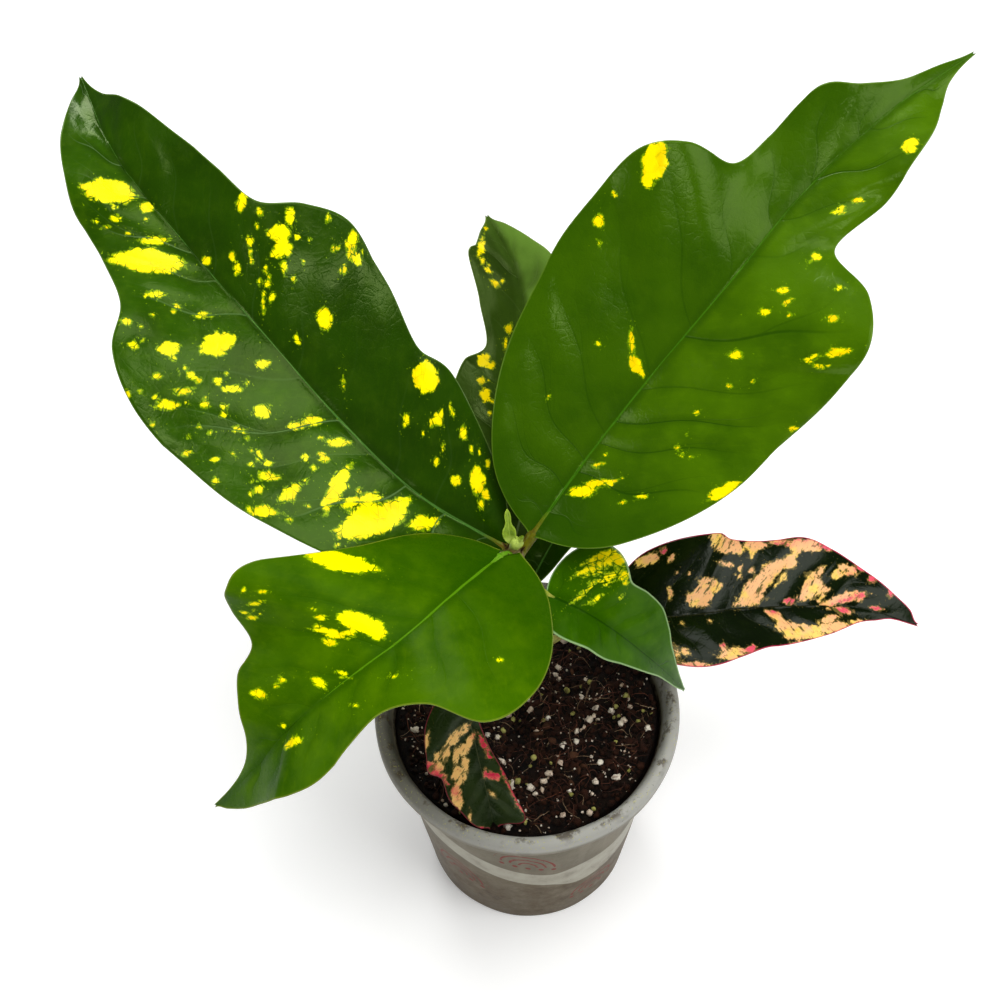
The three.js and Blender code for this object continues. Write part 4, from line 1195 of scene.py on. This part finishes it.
bed = soil_material("soil_bed", (7, 4, 3), (26, 15, 9), scale=1, wet=0.1)
crumb = soil_material("soil_crumb", (8, 4, 2), (32, 19, 12), scale=1.6, wet=0.15, tint=(60, 32, 20))
bark = soil_material("soil_bark", (30, 18, 12), (60, 38, 26), scale=1.2, wet=0, tint=(84, 54, 36))
perlite = mineral_material("perlite", (238, 230, 212), (212, 188, 164), (110, 82, 62))
granule = mineral_material("granules", (178, 174, 96), (134, 132, 62), (84, 74, 36))
coir = fibre_material("coir", (44, 22, 14), (104, 58, 38))
roots = fibre_material("roots", (120, 92, 66), (190, 162, 126))
piece("fine_soil", soil_mesh(), bed, "soil", "soil")
scatter("soil_crumbs", crumb, 2300, sizes=(0.45, 1.9), squash=(0.6, 1), sunk=0.35, fineness=1, seed=201,
        roughness=0.3, reach=51.6, tints=(0, 0.8))
scatter("soil_bark", bark, 80, sizes=(0.8, 2.4), squash=(0.22, 0.4), sunk=0.3, fineness=2, seed=202,
        roughness=0.2)
scatter("perlite", perlite, 210, sizes=(0.5, 1.8), squash=(0.55, 1), sunk=0.14, fineness=2, seed=203,
        roughness=0.3)
scatter("perlite_dust", perlite, 500, sizes=(0.16, 0.6), squash=(0.7, 1), sunk=0, fineness=1, seed=204,
        roughness=0.2, reach=51)
scatter("soil_granules", granule, 60, sizes=(0.8, 1.6), squash=(0.6, 1), sunk=0.16, fineness=2, seed=205,
        roughness=0.16)
fibres("coir_fibres", coir, 520, lengths=(4, 17), radii=(0.05, 0.17), lift=(0.2, 2), seed=206)
fibres("fine_roots", roots, 100, lengths=(4, 16), radii=(0.04, 0.11), lift=(0.4, 2), seed=207)


# The stem: bark with rings where older leaves were
SCARS = (101, 118, 127, 136, 146, 164)


def stem_mesh():
    sides = 40
    steps = 330
    node_swell = 0.5
    scar_ring = 0.3
    scar_groove = 0.15
    groove_above = 1.6
    bark_depth = 0.16
    height = np.linspace(STEM_BOTTOM, STEM_TOP, steps)
    share = stem_share(height)
    centres = curve_through(STEM_POINTS, share)
    radius = STEM_RADII[0] + (STEM_RADII[1] - STEM_RADII[0]) * share
    for leaf in LEAVES.values():
        radius = radius + node_swell * hill(height - leaf["stem_height"], 2.5)
    for scar in SCARS:
        radius = radius + scar_ring * hill(height - scar, 0.9)
        radius = radius - scar_groove * hill(height - scar - groove_above, 0.6)
    radius = radius * np.minimum(1, 0.3 + 0.7 * np.sqrt(np.clip((STEM_TOP - height) / 2.2, 0, 1)))
    rings = tube_rings(centres, radius, (0, 1, 0), sides)
    turn = turns(sides)[None]
    ridged = rough_noise(8 * np.cos(turn) + height[:, None] / 14, 8 * np.sin(turn) + height[:, None] / 9, 21)
    rings = rings + unit(rings - centres[:, None]) * (bark_depth * ridged)[..., None]
    build = Build()
    build.tube(capped(rings, centres))
    return build.mesh("stem")


def bark_material():
    s = Surface("stem_bark")
    place = s.object_place()
    x, y, z = s.parts(place)
    ridges = s.noise(s.node("ShaderNodeCombineXYZ", {0: x, 1: y, 2: z * 0.22}), 1.1, 5, 0.65)
    blotches = s.noise(place, 0.16, 3)
    pores = s.ramp(s.cells(place, 0.5), 0.3, 0.16)
    green = s.mix(s.ramp(blotches, 0.4, 0.62), (88, 92, 44), (122, 112, 66))
    brown = s.mix(s.ramp(ridges, 0.38, 0.66), (74, 58, 38), (128, 108, 78))
    s.start(s.ramp(z + blotches * 30, 150, 190), brown, green)
    s.paint(pores * 0.6, (168, 152, 116))
    return s.finish(s.ramp(ridges, 0.3, 0.7, 0.6, 0.9), ridges * 0.7 + pores * 0.12)


piece("fine_stem", stem_mesh(), bark_material(), "stem", "stem")


# The shoot: the youngest leaf, the bud with its hooked tip, and brown scales round them
YOUNG_LEAF = dict(
    midrib=[[-4.6, 6.4, 199.5], [-5.2, 7.3, 202.5], [-5.7, 9.5, 206.5], [-6.1, 12.4, 211]],
    facing=[[0.1, -0.8, 0.6], [0.1, -0.8, 0.6]],
    widths=[[0.9, 0.9], [1.2, 1.1], [2, 1.8], [2.5, 2.3], [2.7, 2.4], [2.3, 2.2], [1.5, 1.4], [1.1, 1.1],
            [1.3, 1.2], [1, 0.9], [0.2, 0.2]],
    angles=[-10, 20, 30], fold=[0.3, 0.1], wave=[0.2, 2, 0], grid=(70, 30), petiole=0.5, rib=(1, 1.3),
    veins=([0.2, 0.35, 0.5, 0.65, 0.8], [0.25, 0.4, 0.55, 0.7, 0.85]), sides=(1, 1), marks=(), flecks=(),
    blush=(),
)
BUD_CENTRE = np.array([-3.2, 6.6, 199.6])
BUD_SLIM = 0.94
BUD_RADII = np.array([2.5 * BUD_SLIM, 2.3 * BUD_SLIM, 2.7])
BUD_HOOK = [[-2.6, 6.6, 200.2], [-1.8, 6.5, 201.8], [-1.2, 6.4, 203.2], [-1.3, 6.2, 204.4]]
SHOOT_NECK = [[-4.3, 6.3, 196.8], [-4.5, 6.35, 198.4], [-4.6, 6.4, 199.8]]
SCALES_CENTRE = np.array([-4, 6.2, 195.2])
SCALES_REACH = 2.6


def shoot_mesh():
    bud_rings = 24
    bud_sides = 28
    hook_steps = 18
    neck_steps = 10
    sides = 14
    build = Build()
    blade_into(build, YOUNG_LEAF, SEED + 90, 0.1)
    plain = dict(marks=NO_PATCH, margin=20, rib_edge=20)
    level = np.linspace(-np.pi / 2, np.pi / 2, bud_rings)[:, None]
    turn = turns(bud_sides)
    bud = np.stack([np.cos(level) * np.cos(turn), np.cos(level) * np.sin(turn), np.sin(level) + 0 * turn], -1)
    folds = 1 + 0.07 * np.cos(3 * turn + 1.5 * level) + 0.03 * np.cos(9 * turn - level)
    build.tube(BUD_CENTRE + bud * folds[..., None] * BUD_RADII, **plain)
    share = np.linspace(0, 1, hook_steps)
    radii = np.interp(share, [0, 0.4, 0.8, 1], [1.3, 1.0, 0.6, 0.15])
    build.tube(tube_rings(curve_through(BUD_HOOK, share), radii, (0, 1, 0), sides), **plain)
    neck = curve_through(SHOOT_NECK, np.linspace(0, 1, neck_steps))
    build.tube(tube_rings(neck, np.linspace(1.5, 0.8, neck_steps), (0, 1, 0), sides), **plain)
    return build.mesh("shoot")


def shoot_material():
    s = Surface("shoot_green")
    place = s.object_place()
    z = s.parts(place)[2]
    fine = s.noise(place, 2.4, 3, 0.6)
    s.start(s.ramp(s.noise(place, 0.5, 3), 0.35, 0.65), (90, 120, 6), (126, 154, 24))
    s.paint(s.ramp(s.read("rib_edge"), 0.3, -0.1, 0, 0.7), (152, 178, 60))
    s.paint(s.ramp(s.read("margin"), 0.7, 0.15, 0, 0.7), (150, 180, 46))
    s.paint(s.ramp(z, 203.6, 202), (164, 186, 76))
    s.paint(s.ramp(fine, 0.55, 0.75, 0, 0.4), (186, 202, 106))
    s.paint(s.ramp(z + fine, 200, 198.2), (134, 112, 52))
    return s.finish(s.ramp(fine, 0.3, 0.7, 0.35, 0.55), fine * 0.25)


def scales_mesh():
    """Pointed brown scales set round the foot of the shoot."""
    random = np.random.default_rng(SEED + 301)
    build = Build()
    count = 9
    steps = 10
    sides = 10
    flatness = 0.28
    foot_half = 0.95
    tip = 0.06
    rise = np.linspace(0, 1, steps)[:, None]
    for k in range(count):
        turn = 2 * np.pi * k / count + random.uniform(-0.2, 0.2)
        out = np.array([math.cos(turn), math.sin(turn), 0])
        length = random.uniform(2.6, 4.2)
        lean = random.uniform(0.25, 0.6)
        foot = SCALES_CENTRE + out * SCALES_REACH
        line = foot + out * lean * length * rise**1.6 + np.array([0, 0, length]) * rise
        radii = foot_half * (1 - rise[:, 0] ** 1.7) + tip
        build.tube(tube_rings(line, radii, out, sides, flatness), tint=random.random())
    return build.mesh("scales")


piece("fine_shoot", shoot_mesh(), shoot_material(), "shoot", "shoot")
piece("shoot_scales", scales_mesh(), fibre_material("scale_brown", (72, 52, 22), (132, 104, 50)), "stem")


# The camera stands where the photograph was taken from
CAMERA_PLACE = (0, -266.98, 558.79)
CAMERA_RIGHT = (0.9998, 0.0058, -0.0197)
CAMERA_UP = (0.0080, 0.7753, 0.6315)
CAMERA_REACH = 1328.3
PHOTO_SIZE = 1000
SENSOR = 36

right = Vector(CAMERA_RIGHT).normalized()
up = (Vector(CAMERA_UP) - right * right.dot(Vector(CAMERA_UP))).normalized()
camera_data = bpy.data.cameras.new("camera")
camera_data.sensor_width = SENSOR
camera_data.lens = SENSOR * CAMERA_REACH / PHOTO_SIZE
camera_data.clip_start = 0.02
camera = bpy.data.objects.new("camera", camera_data)
turned = Matrix((right, up, right.cross(up))).transposed().to_4x4()
camera.matrix_world = Matrix.Translation(Vector(CAMERA_PLACE) * MM) @ turned
bpy.context.scene.collection.objects.link(camera)
bpy.context.scene.camera = camera


def soft_light(name, place, size, power, aim_height=0.15, mirrored=True):
    data = bpy.data.lights.new(name, "AREA")
    data.shape = "RECTANGLE"
    data.size, data.size_y = size
    data.energy = power
    lamp = bpy.data.objects.new(name, data)
    lamp.location = place
    lamp.visible_glossy = mirrored
    lamp.rotation_mode = "QUATERNION"
    aim = Vector((0, 0, aim_height)) - Vector(place)
    lamp.rotation_quaternion = aim.to_track_quat("-Z", "Y")
    bpy.context.scene.collection.objects.link(lamp)


# Two broad lamps give the light, and smaller soft panels stand where the leaves mirror them, in metres
soft_light("key", (0.1, 0.1, 2.1), (1.4, 1.4), 31, mirrored=False)
soft_light("fill", (1.2, -0.6, 1.3), (1, 1), 10, mirrored=False)
soft_light("top_panel", (0.25, -0.25, 2), (0.8, 0.5), 2.6)
soft_light("high_panel", (0.12, -1.26, 1.78), (0.6, 0.26), 2, aim_height=0.2)
soft_light("right_panel", (0.98, -0.5, 1.55), (1, 0.7), 5, aim_height=0.2)
soft_light("left_panel", (-1.25, -0.33, 0.85), (0.6, 0.45), 2.2)
soft_light("back_panel", (-0.5, 1.25, 1.7), (0.6, 0.8), 9.5, aim_height=0.2)
soft_light("front_panel", (-0.4, -1.7, 0.5), (1.2, 0.5), 3, aim_height=0.1)

# The room is dim, so that the leaves keep their deep green, and white where the camera sees past the floor
ROOM = 0.12
FLOOR_REACH = 6
FLOOR_ROUGH = 0.9
world = bpy.data.worlds.new("studio")
bpy.context.scene.world = world
world.use_nodes = True
nodes, links = world.node_tree.nodes, world.node_tree.links
nodes["Background"].inputs["Color"].default_value = (1, 1, 1, 1)
strength = nodes.new("ShaderNodeMapRange")
strength.inputs["To Min"].default_value = ROOM
links.new(nodes.new("ShaderNodeLightPath").outputs["Is Camera Ray"], strength.inputs["Value"])
links.new(strength.outputs[0], nodes["Background"].inputs["Strength"])

floor_mesh = bpy.data.meshes.new("floor")
corners = [(x * FLOOR_REACH, y * FLOOR_REACH, 0) for x, y in ((-1, -1), (1, -1), (1, 1), (-1, 1))]
floor_mesh.from_pydata(corners, [], [(0, 1, 2, 3)])
floor = bpy.data.objects.new("floor", floor_mesh)
bpy.context.scene.collection.objects.link(floor)
# The pale floor glows too, a painted light: dim grey, which lifts its shadows, and white farther off where
# the camera sees it.
pale = Surface("floor_pale")
place = pale.object_place(1)
pale.start(pale.ramp(pale.noise(place, 3), 0.3, 0.7), (250, 250, 250), (247, 247, 246))
far = pale.node("ShaderNodeVectorMath", {0: place}, "Value", operation="LENGTH")
seen = pale.node("ShaderNodeLightPath", {}, "Is Camera Ray")
glow = pale.mix(pale.ramp(far, 0.4, 2.4) * seen, (112, 112, 112), (255, 255, 255))
floor_mesh.materials.append(pale.finish(FLOOR_ROUGH, Emission_Color=glow, Emission_Strength=1))

bpy.context.scene.view_settings.view_transform = "Standard"
